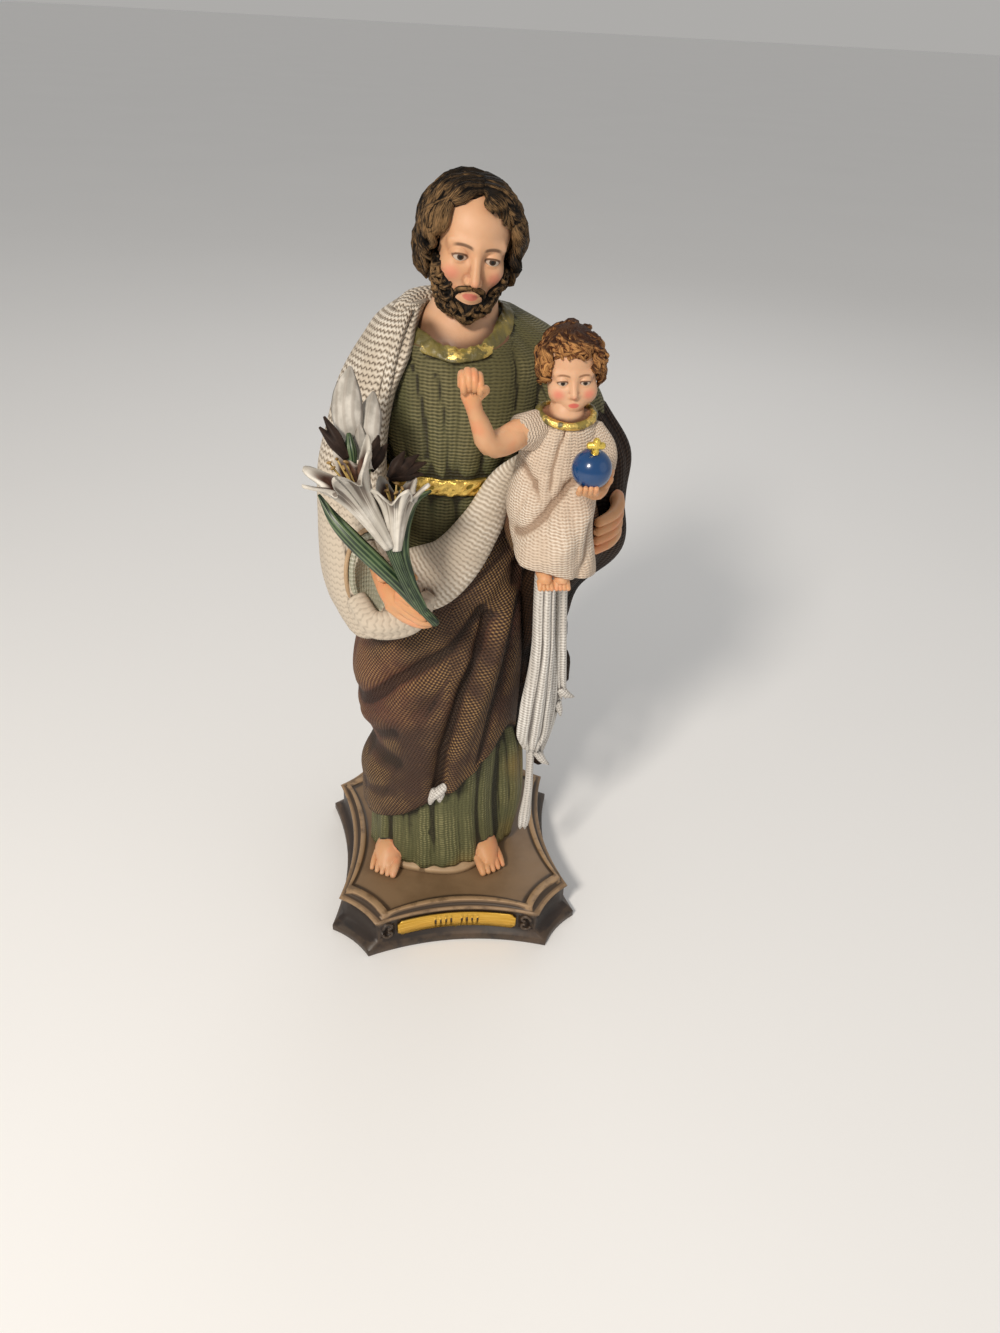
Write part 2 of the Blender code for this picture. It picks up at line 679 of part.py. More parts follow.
def lower_robes():
    skirt = [(-4, -5, -2, 31, 31, 26, 26), (10, -5, -2, 30.5, 30, 26, 26), (30, -6, -2, 28.5, 29, 26, 25),
             (60, -6, -2, 26, 29, 25, 24), (90, -5, -2, 26, 28, 25, 24)]
    ground = [(-4, -5, -3, 30, 29, 27, 26), (2.2, -5, -3, 29, 28, 26, 25)]
    wrap = [(24, -6, -2, 33, 32, 28, 27), (34, -6, -2, 33.5, 32, 29, 27), (47, -5, -2, 34.5, 31, 30, 27),
            (60, -4, -2, 32, 31, 31, 27), (84, -4, -2, 37, 32, 31, 27), (109, -4, -2, 36, 33, 31, 26),
            (131, -4, -2, 30, 33, 31, 25), (150, -3, -2, 27, 32, 30, 24), (176, -3, -2, 24, 29, 27, 22)]
    side_pleats = [(4, 21, -3, 8, 9, 10, 12), (25, 22, -3, 9, 11, 10, 12), (40, 21, -3, 9, 11.6, 10, 12),
                   (56, 20, -3, 8, 11, 10, 12), (74, 18, -3, 8, 8, 9, 12)]
    slip = [(-2.5, -30.5, 50.5, 2.0), (-6.0, -31.4, 45.0, 2.4), (-8.2, -31.4, 41.5, 1.5)]
    return [garment("skirt", skirt, skirt_hem, level(88), tunic_fold),
            garment("ground", ground, level(-4), level(2.2), lambda a, x, z: 0.8 * np.cos(5 * a), rings=3),
            garment("wrap", wrap, wrap_hem, wrap_top, wrap_fold, around=120, rings=70),
            garment("side_pleats", side_pleats, lambda a: 5.0 + 2.0 * np.cos(3 * a), level(74),
                    lambda a, x, z: 0.9 * pleat(4.5 * a + z / 60.0), rings=24),
            tubes("white_slip", [slip], 1, 8)]


def upper_robes():
    chest = [(145, -3, -2, 27, 29, 27, 24), (180, -3, -2, 25, 26, 27, 23), (186, -3, -2, 24, 25, 26, 22),
             (200, -2, -2, 28, 29, 27, 23), (216, -1, -1, 31, 33, 24, 22), (228, -1, 0, 29, 32, 20.5, 19),
             (233, -1.5, 0, 22.5, 24, 19, 15), (238, -2, -1, 17.5, 18, 17, 13),
             (241, -1, -1, 14, 14, 14, 12)]
    belt = [(181, -3, -2, 26.2, 27, 28.1, 23), (185.5, -3, -2, 26.5, 27.2, 28.5, 23.2),
            (190, -3, -2, 26.2, 26.6, 28.2, 23)]
    band = [(-32, -26, 142, -10), (-16, -31.5, 147.5, -6), (-5, -33, 154, 0), (5.5, -32, 168.4, 4),
            (14.8, -28, 186.5, 10)]
    drape = [(-39, -36, 146, -24), (-33, -44, 140, -14), (-22, -44, 141, -6), (-11, -40, 146, 0)]
    edge = [(-17, -11, 241, 1.6), (-22, -17, 233, 1.8), (-26, -21, 222, 1.9), (-29, -25, 208, 1.9),
            (-30.5, -29, 194, 1.9), (-31.5, -34, 178, 1.8), (-28, -38, 164, 1.8), (-20, -37.5, 161, 2.0),
            (-8, -37, 163, 1.8), (1.8, -36, 173.5, 1.6), (13.4, -32, 190.5, 1.5)]
    shoulder = [(196, 33, -2, 16, 20, 18, 18), (205, 33, 0, 16, 21, 18, 18),
                (220, 27, 2.5, 14, 18.5, 16, 16.5), (232, 19, 3, 12, 15, 13, 14), (240, 11, 3, 8, 8, 7, 9)]
    return [garment("chest", chest, level(145), tunic_top, chest_fold),
            garment("belt", belt, level(183.0), level(188.2), lambda a, x, z: 0.3 * np.cos(23 * a + z),
                    rings=6),
            ribbon("band", band, [(0, 8), (0.28, 12.5), (0.5, 8), (0.75, 5.6), (1, 4.5)],
                   [(0, 6), (0.4, 5), (1, 4.5)], 2.2, 0.6),
            ribbon("drape", drape, [(0, 4), (0.4, 5.5), (0.8, 6.5), (1, 5)],
                   [(0, 4), (0.5, 4), (1, 3.5)], 1.6, 0.8),
            tubes("mantle_edge", [edge], 1, 40),
            garment("shoulder", shoulder, level(196), level(240), chest_fold, rings=24),
            ellipsoid("seat", (31, -32, 174), (17, 17, 18), (20, 0, 0), 14)]


def head_and_neck():
    neck = [(220, -2, -3, 15, 15, 15.5, 12), (229, -1.5, -3, 16, 15.5, 17, 12),
            (234, -1, -2.5, 14.6, 14.6, 15.5, 12), (238, 0, -2.5, 12.6, 12.6, 12.4, 11.5),
            (243, 1, -3, 10.8, 10.8, 10.4, 10.6), (249, 1.5, -3.6, 10, 10, 9.8, 10),
            (257, 2, -5, 10, 10, 10, 10)]
    place = head_place((1.5, -6.5, 261.5), HEAD_HEIGHT, 4.0, 7.0, 9.0)
    cap = placed(place, [(0.0, 0.10, 0.10)])[0]
    jaw = around_head(56, 60, 1.35)
    return [garment("neck", neck, level(220), level(257), lambda a, x, z: 0.0 * z, 40, 20),
            tubes("collar", [collar_line(2.2)], 1, 33),
            head("joseph_head", place, 0.0),
            ellipsoid("hair_mass", tuple(cap), (14.6, 15.6, 15.8), (12, 9, 12), 16),
            tubes("joseph_hair", joseph_hair(place, 11), 1, 12),
            capped("beard_pad", placed(place, jaw * jaw_reach(jaw)[..., None])),
            tubes("beard", beard(place, 5), 1, 7)]


def joseph_shells():
    feet = [bare_foot("right_foot", (-25, -8, 4.5), (-31.5, -30, 1.9), 12),
            bare_foot("left_foot", (12, -8, 4.5), (17.5, -32, 1.9), -12)]
    mantles = [right_mantle(), back_mantle(), left_cloak()]
    return lower_robes() + upper_robes() + mantles + cascade() + head_and_neck() + feet


def collar_line(radius):
    points = []
    for i in range(33):
        turn = 2 * math.pi * i / 32
        front = max(0.0, -math.sin(turn))
        x = -2.0 + 17.6 * math.cos(turn)
        y = -1.0 + (13.5 + 5.8 * front) * math.sin(turn)
        points.append((x, y, 240.0 - 10.0 * front ** 1.5, radius))
    return points


def right_mantle():
    """The mantle over the right arm, opened where the sleeve comes out."""
    rows = [(127, -33, -17, 5, 7, 16, 10), (130, -33, -16, 11, 12, 22, 15),
            (134, -33, -14, 14.5, 15, 25, 19), (141, -34, -12, 16.5, 16, 28, 21),
            (156, -35, -9, 17.5, 14, 31, 22),
            (172, -35, -7, 17.5, 11, 28, 22), (188, -33, -4, 18, 7, 26, 21),
            (200, -30, -3, 17.5, 4.5, 24, 20), (216, -26, -1, 16.5, 4, 22, 18),
            (230, -19, 0, 15, 4.5, 18, 16), (238, -14, 1, 12.5, 5, 12.5, 14), (243, -9, 2, 8, 5, 7, 9)]
    shell = garment("right_mantle", rows, level(127), level(243), arm_fold, around=96, rings=60)
    hollow = ellipsoid("sleeve_hollow", (-33, -48, 156), (8.5, 15, 17.5), (0, 4, 0), 16)
    return cut(shell, hollow)


def sleeve_rim(wide, tall, inset, thick):
    """A ring around the sleeve's opening, laid on the front of the mantle."""
    rim = []
    for t in np.linspace(0, 2 * math.pi, 29):
        x = -33.4 + wide * math.cos(t)
        z = 156.0 + tall * math.sin(t)
        depth = 31.0 - 0.012 * (z - 156.0) ** 2
        y = -9.0 - depth * math.sqrt(1 - ((x + 35.0) / 17.5) ** 2) + inset
        rim.append((x, y, z, thick))
    return rim


def right_arm_shells():
    rims = [sleeve_rim(6.6, 15.0, 1.6, 1.3), sleeve_rim(8.8, 17.6, 0.2, 1.0)]
    lines = [
        [(-33, -32, 160, 4.6), (-31, -42, 159, 4.5), (-28.5, -47.5, 157, 4.6), (-24.8, -51, 154, 4.8),
         (-22, -53, 151.8, 3.9)],
        [(-27, -51, 152, 2.6), (-21.5, -54.5, 148.6, 2.2), (-16, -56.5, 147, 1.7),
         (-13.5, -56.8, 147, 1.2)],
        [(-25, -53, 154, 2.5), (-19.5, -56.5, 150.6, 2.1), (-15.5, -58, 148.6, 1.6),
         (-13.6, -58.4, 148.4, 1.1)],
        [(-24, -54, 156, 2.4), (-19, -57.5, 153, 2.1), (-15.6, -59, 150.8, 1.5)],
        [(-24, -54, 158, 2.3), (-19.5, -58, 156.6, 2.0), (-16.6, -59.5, 154.6, 1.4)],
        [(-30, -48, 161.5, 2.4), (-25, -52, 164.5, 2.2), (-20.5, -56, 165.5, 1.7),
         (-19, -57.5, 165.5, 1.3)]]
    return [tubes("cuff", rims, 1, 45), tubes("right_hand", lines, 2, 10)]


def back_mantle():
    """The mantle's plain fall across the back."""
    rows = [(60, -4, 8, 26, 28, 6, 20), (90, -3, 8, 28, 28, 8, 21), (130, -2, 6, 30, 31, 8, 22),
            (170, 0, 4, 30, 33, 8, 22), (205, 1, 2, 31, 34, 6, 24), (225, 1, 2, 27, 29, 6, 20),
            (238, 2, 2, 14, 14, 5, 13)]
    return garment("back_mantle", rows, lambda a: 66.0 + 16.0 * np.cos(a), level(238),
                   lambda a, x, z: 1.7 * pleat(5.0 * a + z / 55.0), rings=44)


def left_cloak():
    rows = [(60, 26, 0, 6, 6, 6, 8), (88, 27, 0, 8, 9, 8, 10), (104, 28, -1, 9, 12, 10, 12),
            (115, 30, -2, 12, 14, 13, 14), (135, 32, -3, 13, 19, 16, 16), (150, 36, -6, 15, 26.4, 20, 18),
            (164, 38, -7, 17, 27.4, 26, 20), (178, 38, -5, 17, 27, 26, 20), (192, 37, -2, 17, 26.4, 22, 20),
            (205, 34, 1, 16, 22, 19, 19), (220, 27, 3, 14, 19, 16, 17)]
    return garment("left_cloak", rows, level(60), level(207), cloak_fold, around=84, rings=60)


def cascade():
    """The white cloth that falls in pleats below the Child's feet."""
    front = [(29.5, -36, 168, 6), (30, -36.5, 145, 6), (31, -36, 125, 6), (30.3, -35, 95, 8),
             (30, -33, 72, 8)]
    side = [(36, -31, 165, 20), (37, -31, 142, 20), (38.5, -31, 122, 22), (40.5, -30, 104, 24),
            (42, -29.5, 96, 24)]
    under = [(33, -29, 140, 14), (36, -29, 110, 18), (36.5, -28, 88, 20), (35, -27, 66, 20)]
    tail = [(31, -26, 80, 10), (31.5, -26, 62, 10), (31.6, -27, 45, 10), (30.4, -28, 25, 10)]
    spikes = [[(40.5, -30, 100, 2.4), (43.5, -30.5, 97.2, 1.7), (46.4, -30.5, 95.8, 0.8)],
              [(34, -27, 66, 2.2), (37, -28, 61.5, 1.5), (39.2, -28, 59.6, 0.8)],
              [(40, -29, 92, 2.2), (41.5, -29.5, 88.6, 1.3), (42, -29.5, 86, 0.8)]]
    torn = [[(36, -6, 124, 4.0), (42, -8, 117, 3.6), (41.5, -8, 110, 3.2)],
            [(32, -6, 108, 4.0), (44.5, -8, 99, 3.2), (44, -9, 92, 2.6)],
            [(30, -6, 92, 4.0), (40.5, -8, 76, 3.2), (37, -8, 62, 2.8)]]
    return [ribbon("fall_front", front, [(0, 4), (0.3, 4.2), (0.55, 4.8), (0.8, 6.6), (0.93, 6.2), (1, 3)],
                   [(0, 4), (0.8, 3.2), (1, 1.6)], 2.6, 1.3, 40, 40, jagged(3, 3.0)),
            ribbon("fall_side", side, [(0, 2.6), (0.6, 2.6), (0.9, 2.4), (1, 1.6)],
                   [(0, 3.4), (0.8, 2.8), (1, 1.6)], 1.6, 0.7, 30, 28, jagged(2, 3.0)),
            ribbon("fall_under", under, [(0, 5), (0.5, 5.4), (0.8, 4.2), (1, 2)],
                   [(0, 4), (0.8, 3), (1, 1.4)], 2.4, 1.0, 30, 32, jagged(2, 4.0)),
            ribbon("fall_tail", tail, [(0, 3), (0.35, 1.6), (0.7, 2.0), (0.95, 2.6), (1, 2.2)],
                   [(0, 3), (0.4, 2), (1, 1.4)], 1.6, 0.4, 30, 28, jagged(2, 2.0)),
            tubes("spikes", spikes + torn, 1, 10)]


def child_hands():
    """Bare arms, hands and toes of the Child, and the bent knee."""
    lines = [[(20, -48, 214, 4.8), (15, -52, 214.4, 4.7), (9, -55.5, 212.6, 4.5), (5, -58, 212.4, 4.2)],
             [(14, -54, 214, 3.8), (8, -57, 212.8, 3.9), (3.6, -60, 213.6, 3.7), (0.8, -62, 220, 3.1),
              (-1.8, -63.2, 226.5, 2.5), (-2.6, -63.4, 230.0, 3.3), (-3.0, -63.4, 233.0, 2.9)],
             [(42.5, -57, 203.5, 3.0), (40.5, -62.5, 201.2, 2.5), (37.5, -66.5, 200.8, 3.2),
              (34.5, -68.5, 201.8, 2.4)],
             [(-0.4, -64.0, 229.8, 1.5), (1.3, -66.2, 232.6, 1.3), (-0.4, -68.2, 233.6, 1.0)],
             [(40.0, -66.5, 202.2, 1.3), (41.2, -68.6, 205.2, 1.1), (40.6, -70.0, 207.0, 0.85)],
             [(17.5, -60, 176, 2.4), (19.6, -62.5, 172.5, 2.2)]]
    for i, rise in enumerate((0.4, 1.3, 1.1, 0.0)):
        x = -5.4 + 1.65 * i
        top = 236.0 + rise
        lines.append([(x, -62.8, 232.6, 1.4), (x - 0.2, -63.8, top, 1.3), (x - 0.1, -66.6, top - 0.4, 1.2),
                      (x, -67.8, top - 2.8, 1.1), (x + 0.1, -66.8, top - 4.6, 0.9)])
        x = 38.0 - 1.7 * i
        lines.append([(x, -68.0, 201.6, 1.2), (x - 1.9, -72.2, 202.4, 1.1), (x - 2.2, -74.4, 204.8, 0.85)])
    for x in (23.4, 28.9):
        lines.append([(x, -58, 172.0, 3.0), (x, -65, 171.0, 2.8), (x, -68.5, 169.4, 2.2)])
        for i in range(4):
            at = x - 1.95 + 1.3 * i
            lines.append([(at, -67.5, 169.2, 0.9), (at, -70.6, 167.6, 0.8)])
    return lines


def child_shells():
    rows = [(163, 30, -52, 11, 13, 14, 16), (168, 30, -52, 14, 13.5, 16.5, 19),
            (175, 29, -52, 14.6, 13.5, 18.5, 21), (182, 28.5, -50.5, 15.6, 13, 19, 21),
            (190, 28, -48.5, 15.6, 13, 16, 20),
            (200, 29, -47, 14.5, 13, 11, 18), (210, 30, -47, 13, 12.5, 9.5, 13),
            (216, 30, -47, 10.5, 10.5, 8.5, 8.5), (219.5, 30, -47, 8, 8, 7, 7)]
    sleeves = [[(22, -47, 213, 6.6), (17.5, -50, 214.2, 6.2), (15, -52, 214.4, 5.6)],
               [(38, -47, 212, 6.2), (41.5, -52, 207.5, 5.6), (41, -57.0, 204, 4.6)]]
    neck = [(30, -47, 214, 8.0), (30.2, -46, 219, 6.0), (30.6, -45, 224, 5.4)]
    place = head_place((31.8, -41.0, 230.6), CHILD_HEAD_HEIGHT, -4.0, 3.0, -3.0)
    cap = placed(place, [(0.0, 0.09, 0.12)])[0]
    ring = [(30 + 8.9 * math.cos(t), -47.2 + 8.0 * math.sin(t), 218.0 + 2.0 * math.sin(t), 1.1)
            for t in np.linspace(0, 2 * math.pi, 17)]
    cross = [[(34.8, -71.2, 214.0, 1.2), (34.8, -72.6, 219.4, 1.2)],
             [(32.6, -72.1, 217.6, 1.2), (37.0, -72.1, 217.6, 1.2)]]
    fingers = []
    for i in range(4):
        z = 179.0 - 3.5 * i
        fingers.append([(56.5, -22, z, 2.9), (55, -31, z, 2.5), (51, -38, z - 0.3, 2.1),
                        (45.5, -42.5, z - 0.8, 1.7)])
    return [garment("child_robe", rows, robe_hem, robe_top, child_fold, around=96, rings=50),
            tubes("child_sleeves", sleeves, 2, 9),
            tubes("child_skin", child_hands(), 2, 9),
            tubes("child_neck", [neck], 2, 8),
            head("child_head", place, 1.0, 52, 60),
            ellipsoid("child_hair_mass", tuple(cap), (9.6, 10.8, 10.4), (8, -3, -4), 14),
            tubes("child_hair", child_hair(place, 3), 1, 11),
            tubes("child_collar", [ring], 1, 25),
            ellipsoid("orb", (34.8, -69.5, 209.2), (6.3, 6.3, 6.3), rings=16),
            tubes("cross", cross, 1, 4),
            tubes("left_hand", fingers, 2, 10)]


# The lily spray

def petal(name, path, half_width, cup, thickness=1.35, count=12, across=7):
    """A leaf or petal along path rows (x, y, z), bowed across by cup."""
    rows = course(path, count)
    share = np.linspace(0.0, 1.0, count)
    wide = blend(half_width, share)[:, 0]
    ahead = np.gradient(rows[:, :3], axis=0)
    ahead /= np.linalg.norm(ahead, axis=1)[:, None]
    points = []
    for i in range(count):
        out = np.array([-0.25, -1.0, 0.25])
        side = np.cross(ahead[i], out)
        side /= np.linalg.norm(side)
        out = np.cross(side, ahead[i])
        for v in np.linspace(-1.0, 1.0, across):
            dent = cup * wide[i] * (v * v - 0.6) - 0.25 * math.exp(-(v / 0.2) ** 2)
            points.append(rows[i, :3] + side * v * wide[i] - out * dent)
    faces = []
    for i in range(count - 1):
        for j in range(across - 1):
            first = i * across + j
            faces.append((first, first + 1, first + across + 1, first + across))
    return thickened(name, points, faces, thickness)


def thickened(name, points, faces, thickness):
    sheet = mesh_object(name, points, faces)
    solid = sheet.modifiers.new("wall", "SOLIDIFY")
    solid.thickness = thickness
    solid.offset = 0.0
    return baked(sheet)


def trumpet(name, neck, mouth, flare, spin, count=16, around=48):
    """An open lily with six pointed lobes, from the neck to the mouth."""
    neck = Vector(neck)
    axis = Vector(mouth) - neck
    length = axis.length
    turn = axis.to_track_quat("Z", "Y").to_matrix()
    points = []
    for i in range(count):
        share = i / (count - 1)
        for j in range(around):
            angle = 2 * math.pi * j / around
            lobe = 0.5 + 0.5 * math.cos(6 * angle + spin)
            open_out = flare * share ** 4 * (0.35 + 0.65 * lobe ** 1.5)
            reach = 1.5 + 3.9 * share + open_out + 0.25 * math.cos(18 * angle + 5 * share) * share ** 4
            rise = length * share * (1.0 - 0.24 * share ** 6 * (1.0 - lobe))
            point = Vector((math.cos(angle) * reach, math.sin(angle) * reach, rise))
            points.append(neck + turn @ point)
    faces = grid_faces(count, around)
    points.append(neck)
    faces += [(j, (j + 1) % around, len(points) - 1) for j in range(around)]
    return thickened(name, points, faces, 1.6)


def shaded_blooms():
    """Narrow petals of the blooms that lie in shadow behind the open ones."""
    leaf = [(0, 1.2), (0.5, 1.9), (1, 0.4)]
    starts = ((-40, -58, 208), (-33, -55.5, 203), (-27, -55.5, 200.5))
    tips = (((-48, -54, 216.5), (-46.5, -53, 219.5), (-44, -52, 213)),
            ((-30, -50, 213), (-27.5, -51, 210)),
            ((-15, -50, 203.5), (-17.5, -51, 206.5), (-22, -52, 208), (-16, -50, 199.5)))
    shells = []
    for start, ends in zip(starts, tips):
        for end in ends:
            middle = 0.5 * (np.array(start) + np.array(end)) + (0, -1.0, 0.6)
            shells.append(petal("shaded_bloom", [start, tuple(middle), end], leaf, 0.3))
    return shells


def spray_shells():
    upper_left = [(-38.2, -52, 208), (-39.6, -50, 217), (-39.4, -46.5, 226), (-38.2, -43, 232)]
    upper_right = [(-33.5, -52, 206), (-33, -50, 213), (-32.3, -47, 220), (-31.2, -44, 224.5)]
    middle = [(-36.4, -54, 206), (-36, -52.5, 212), (-36.2, -50, 217)]
    calyx = [[(-38, -60, 203, 1.2), (-39.5, -56, 211, 2.6), (-40, -53, 217, 1.3)],
             [(-34, -60, 200, 1.2), (-34, -55, 208, 2.2), (-33.5, -53, 213, 1.2)]]
    stems = [[(-27.8, -65, 182, 1.6), (-23.5, -64, 170, 1.6), (-18.2, -61.5, 158, 1.7),
              (-12.0, -60.0, 149.5, 1.6)],
             [(-25.6, -64.5, 180, 1.5), (-22, -63.5, 168, 1.5), (-16.5, -61.5, 155, 1.5)]]
    left_leaf = [(-49.5, -51, 193), (-45, -55.5, 186.5), (-39.5, -59, 181), (-32, -62, 174),
                 (-24, -62, 165), (-17.5, -61.5, 156.5), (-11.6, -61, 150)]
    right_leaf = [(-13.5, -52, 194.5), (-18.5, -56, 193.5), (-22.4, -60, 188), (-23.6, -62.5, 179),
                  (-21, -63, 168), (-15.6, -62, 156)]
    return [trumpet("bloom_left", (-27.4, -65, 181), (-43.2, -66, 210.5), 8.2, 0.4),
            trumpet("bloom_right", (-25.6, -64.5, 179.6), (-25.8, -60.5, 200.5), 6.2, 1.2),
            petal("upper_petal_left", upper_left, [(0, 1.8), (0.4, 4.9), (0.75, 4.0), (1, 0.6)], 0.35),
            petal("upper_petal_right", upper_right, [(0, 1.6), (0.4, 3.6), (0.75, 3.2), (1, 0.5)], 0.35),
            petal("middle_petal", middle, [(0, 1.5), (0.45, 2.4), (1, 0.5)], 0.35),
            tubes("calyx", calyx, 1, 7),
            tubes("stems", stems, 1, 12),
            petal("left_leaf", left_leaf,
                  [(0, 0.5), (0.2, 2.6), (0.45, 3.0), (0.65, 2.6), (0.9, 1.6), (1, 0.8)], 0.35, 1.4, 20),
            petal("right_leaf", right_leaf, [(0, 0.5), (0.3, 2.4), (0.6, 2.4), (1, 0.8)], 0.3, 1.4, 18),
            ] + shaded_blooms()


# Base and plate

def base_outline(half_width, half_depth, grow, side_steps=8, corner_steps=2):
    """The plan of the base: hollow sides between hollow cut corners."""
    cut_w = CORNER_CUT_WIDTH
    cut_d = CORNER_CUT_DEPTH
    x = half_width + grow
    y = half_depth + grow
    corners = [(-x + cut_w, -y), (x - cut_w, -y), (x, -y + cut_d), (x, y - cut_d),
               (x - cut_w, y), (-x + cut_w, y), (-x, y - cut_d), (-x, -y + cut_d)]
    points = []
    for i, start in enumerate(corners):
        end = corners[(i + 1) % 8]
        steps = side_steps if i % 2 == 0 else corner_steps
        hollow = SIDE_HOLLOW if i % 2 == 0 else CORNER_HOLLOW
        run = (end[0] - start[0], end[1] - start[1])
        length = math.hypot(*run)
        inward = (-run[1] / length, run[0] / length)
        for k in range(steps):
            share = k / steps
            dip = hollow * 4 * share * (1 - share)
            points.append((start[0] + run[0] * share + inward[0] * dip,
                           start[1] + run[1] * share + inward[1] * dip))
    return points


def base_rings():
    """Heights of the moulding with the share of the way from top to foot."""
    top = BASE_HEIGHT
    slab = top - TOP_SLAB_HEIGHT
    flange = FOOT_FLANGE_HEIGHT
    step = 0.35 * MM
    return [(0.0, 1.0, -step), (step, 1.0, 0.0), (flange - step, 1.0, 0.0), (flange, 1.0, -step),
            (flange + 1.1 * MM, 0.72, 0.0), (flange + BAND_MARGIN, BAND_SHARE, 0.0),
            (slab - BAND_MARGIN, BAND_SHARE, 0.0), (slab - 1.4 * MM, 0.42, 0.0),
            (slab - 0.5 * MM, 0.50, 0.0), (slab, 0.50, -step),
            (slab, 0.12, 0.0), (slab + 0.5 * MM, 0.0, 0.0), (top - step, 0.0, 0.0), (top, 0.0, -step)]


def build_plinth():
    rings = []
    for z, share, grow in base_rings():
        half_width = (TOP_WIDTH + (FOOT_WIDTH - TOP_WIDTH) * share) / 2
        half_depth = (TOP_DEPTH + (FOOT_DEPTH - TOP_DEPTH) * share) / 2
        rings.append([(x, y, z) for x, y in base_outline(half_width, half_depth, grow)])
    for z, grow in ((BASE_HEIGHT, -RIM_WIDTH), (BASE_HEIGHT - RIM_HEIGHT, -RIM_WIDTH - RIM_HEIGHT)):
        rings.append([(x, y, z) for x, y in base_outline(TOP_WIDTH / 2, TOP_DEPTH / 2, grow)])
    plinth = capped("plinth", rings)
    for side in (-1, 1):
        plinth = cut(plinth, scroll(side), "UNION")
    return plinth


def plate_arc(along, outward):
    """A point on the hollow front of the band, at a distance along and out."""
    half_width = (TOP_WIDTH + (FOOT_WIDTH - TOP_WIDTH) * BAND_SHARE) / 2
    half_depth = (TOP_DEPTH + (FOOT_DEPTH - TOP_DEPTH) * BAND_SHARE) / 2
    half = half_width - CORNER_CUT_WIDTH
    share = 0.5 + along / (2 * half)
    dip = SIDE_HOLLOW * 4 * share * (1 - share)
    slope = SIDE_HOLLOW * 4 * (1 - 2 * share) / (2 * half)
    length = math.hypot(1.0, slope)
    return (along + slope / length * outward, -half_depth + dip - outward / length)


def plate_middle():
    return (FOOT_FLANGE_HEIGHT + BASE_HEIGHT - TOP_SLAB_HEIGHT) / 2


def build_plate():
    """The plate, bent to the hollow front, with rows of raised strokes."""
    rows = []
    steps = 18
    for i in range(steps + 1):
        along = PLATE_LENGTH * (i / steps - 0.5)
        near = 1.0 - abs(along) / (PLATE_LENGTH / 2)
        half = PLATE_HEIGHT / 2 * (1.0 if near > 0.04 else 0.62)
        ring = []
        for out, rise in ((PLATE_GAP, -half), (PLATE_GAP, half), (PLATE_GAP + PLATE_THICKNESS, half),
                          (PLATE_GAP + PLATE_THICKNESS, -half)):
            x, y = plate_arc(along, out)
            ring.append((x, y, plate_middle() + rise))
        rows.append(ring)
    plate = capped("name_plate", rows)
    strokes = []
    for i in range(9):
        along = (i - 4) * STROKE_LENGTH * 1.55
        if i == 4:
            continue
        tall = PLATE_HEIGHT * (0.22 if i % 3 else 0.30)
        x, y = plate_arc(along, PLATE_GAP + PLATE_THICKNESS)
        shape = bmesh.new()
        bmesh.ops.create_cube(shape, size=1.0)
        data = bpy.data.meshes.new("stroke")
        shape.to_mesh(data)
        shape.free()
        size = Matrix.Diagonal((STROKE_LENGTH * 0.45, 2 * STROKE_RELIEF, tall, 1.0))
        data.transform(Matrix.Translation((x, y, plate_middle())) @ size)
        stroke = bpy.data.objects.new("stroke", data)
        bpy.context.scene.collection.objects.link(stroke)
        strokes.append(stroke)
    return cut(plate, joined("strokes", strokes), "UNION")


def scroll(side):
    """A carved scroll beside the plate, half sunk in the front."""
    along = side * (PLATE_LENGTH / 2 + 2.2 * SCROLL_RADIUS)
    x, y = plate_arc(along, 0.0)
    radii = (SCROLL_RADIUS, SCROLL_RADIUS * 0.6, SCROLL_RADIUS * 1.5)
    return ellipsoid("scroll", (x, y, plate_middle()), radii, (0, 14 * side, 0), 6)


# Assembly

def to_metres(thing, lift):
    place = Matrix.Translation((0, 0, lift)) @ Matrix.Scale(UNIT, 4)
    thing.data.transform(place)


def floor_slab():
    shape = bmesh.new()
    bmesh.ops.create_cube(shape, size=1.0)
    data = bpy.data.meshes.new("below")
    shape.to_mesh(data)
    shape.free()
    data.transform(Matrix.Translation((0, 0, -10)) @ Matrix.Diagonal((200, 200, 20, 1)))
    made = bpy.data.objects.new("below", data)
    bpy.context.scene.collection.objects.link(made)
    return made


def build_figure():
    shells = joseph_shells() + right_arm_shells() + child_shells()
    figure = fused(joined("saint_joseph_and_child", shells), 0.8, FIGURE_FACETS)
    return cut(figure, floor_slab())


def build_spray():
    return fused(joined("lily_spray", spray_shells()), 0.4, SPRAY_FACETS)


def swollen(thing, gap):
    """A copy that is larger all round by the gap."""
    copy = bpy.data.objects.new("socket", thing.data.copy())
    bpy.context.scene.collection.objects.link(copy)
    swell = copy.modifiers.new("swell", "DISPLACE")
    swell.mid_level = 0.0
    swell.strength = gap
    return baked(copy)


def finish(thing, group, made_of):
    thing.data.materials.clear()
    thing.data.materials.append(made_of)
    for face in thing.data.polygons:
        face.use_smooth = False
    for holder in list(thing.users_collection):
        holder.objects.unlink(thing)
    group.objects.link(thing)


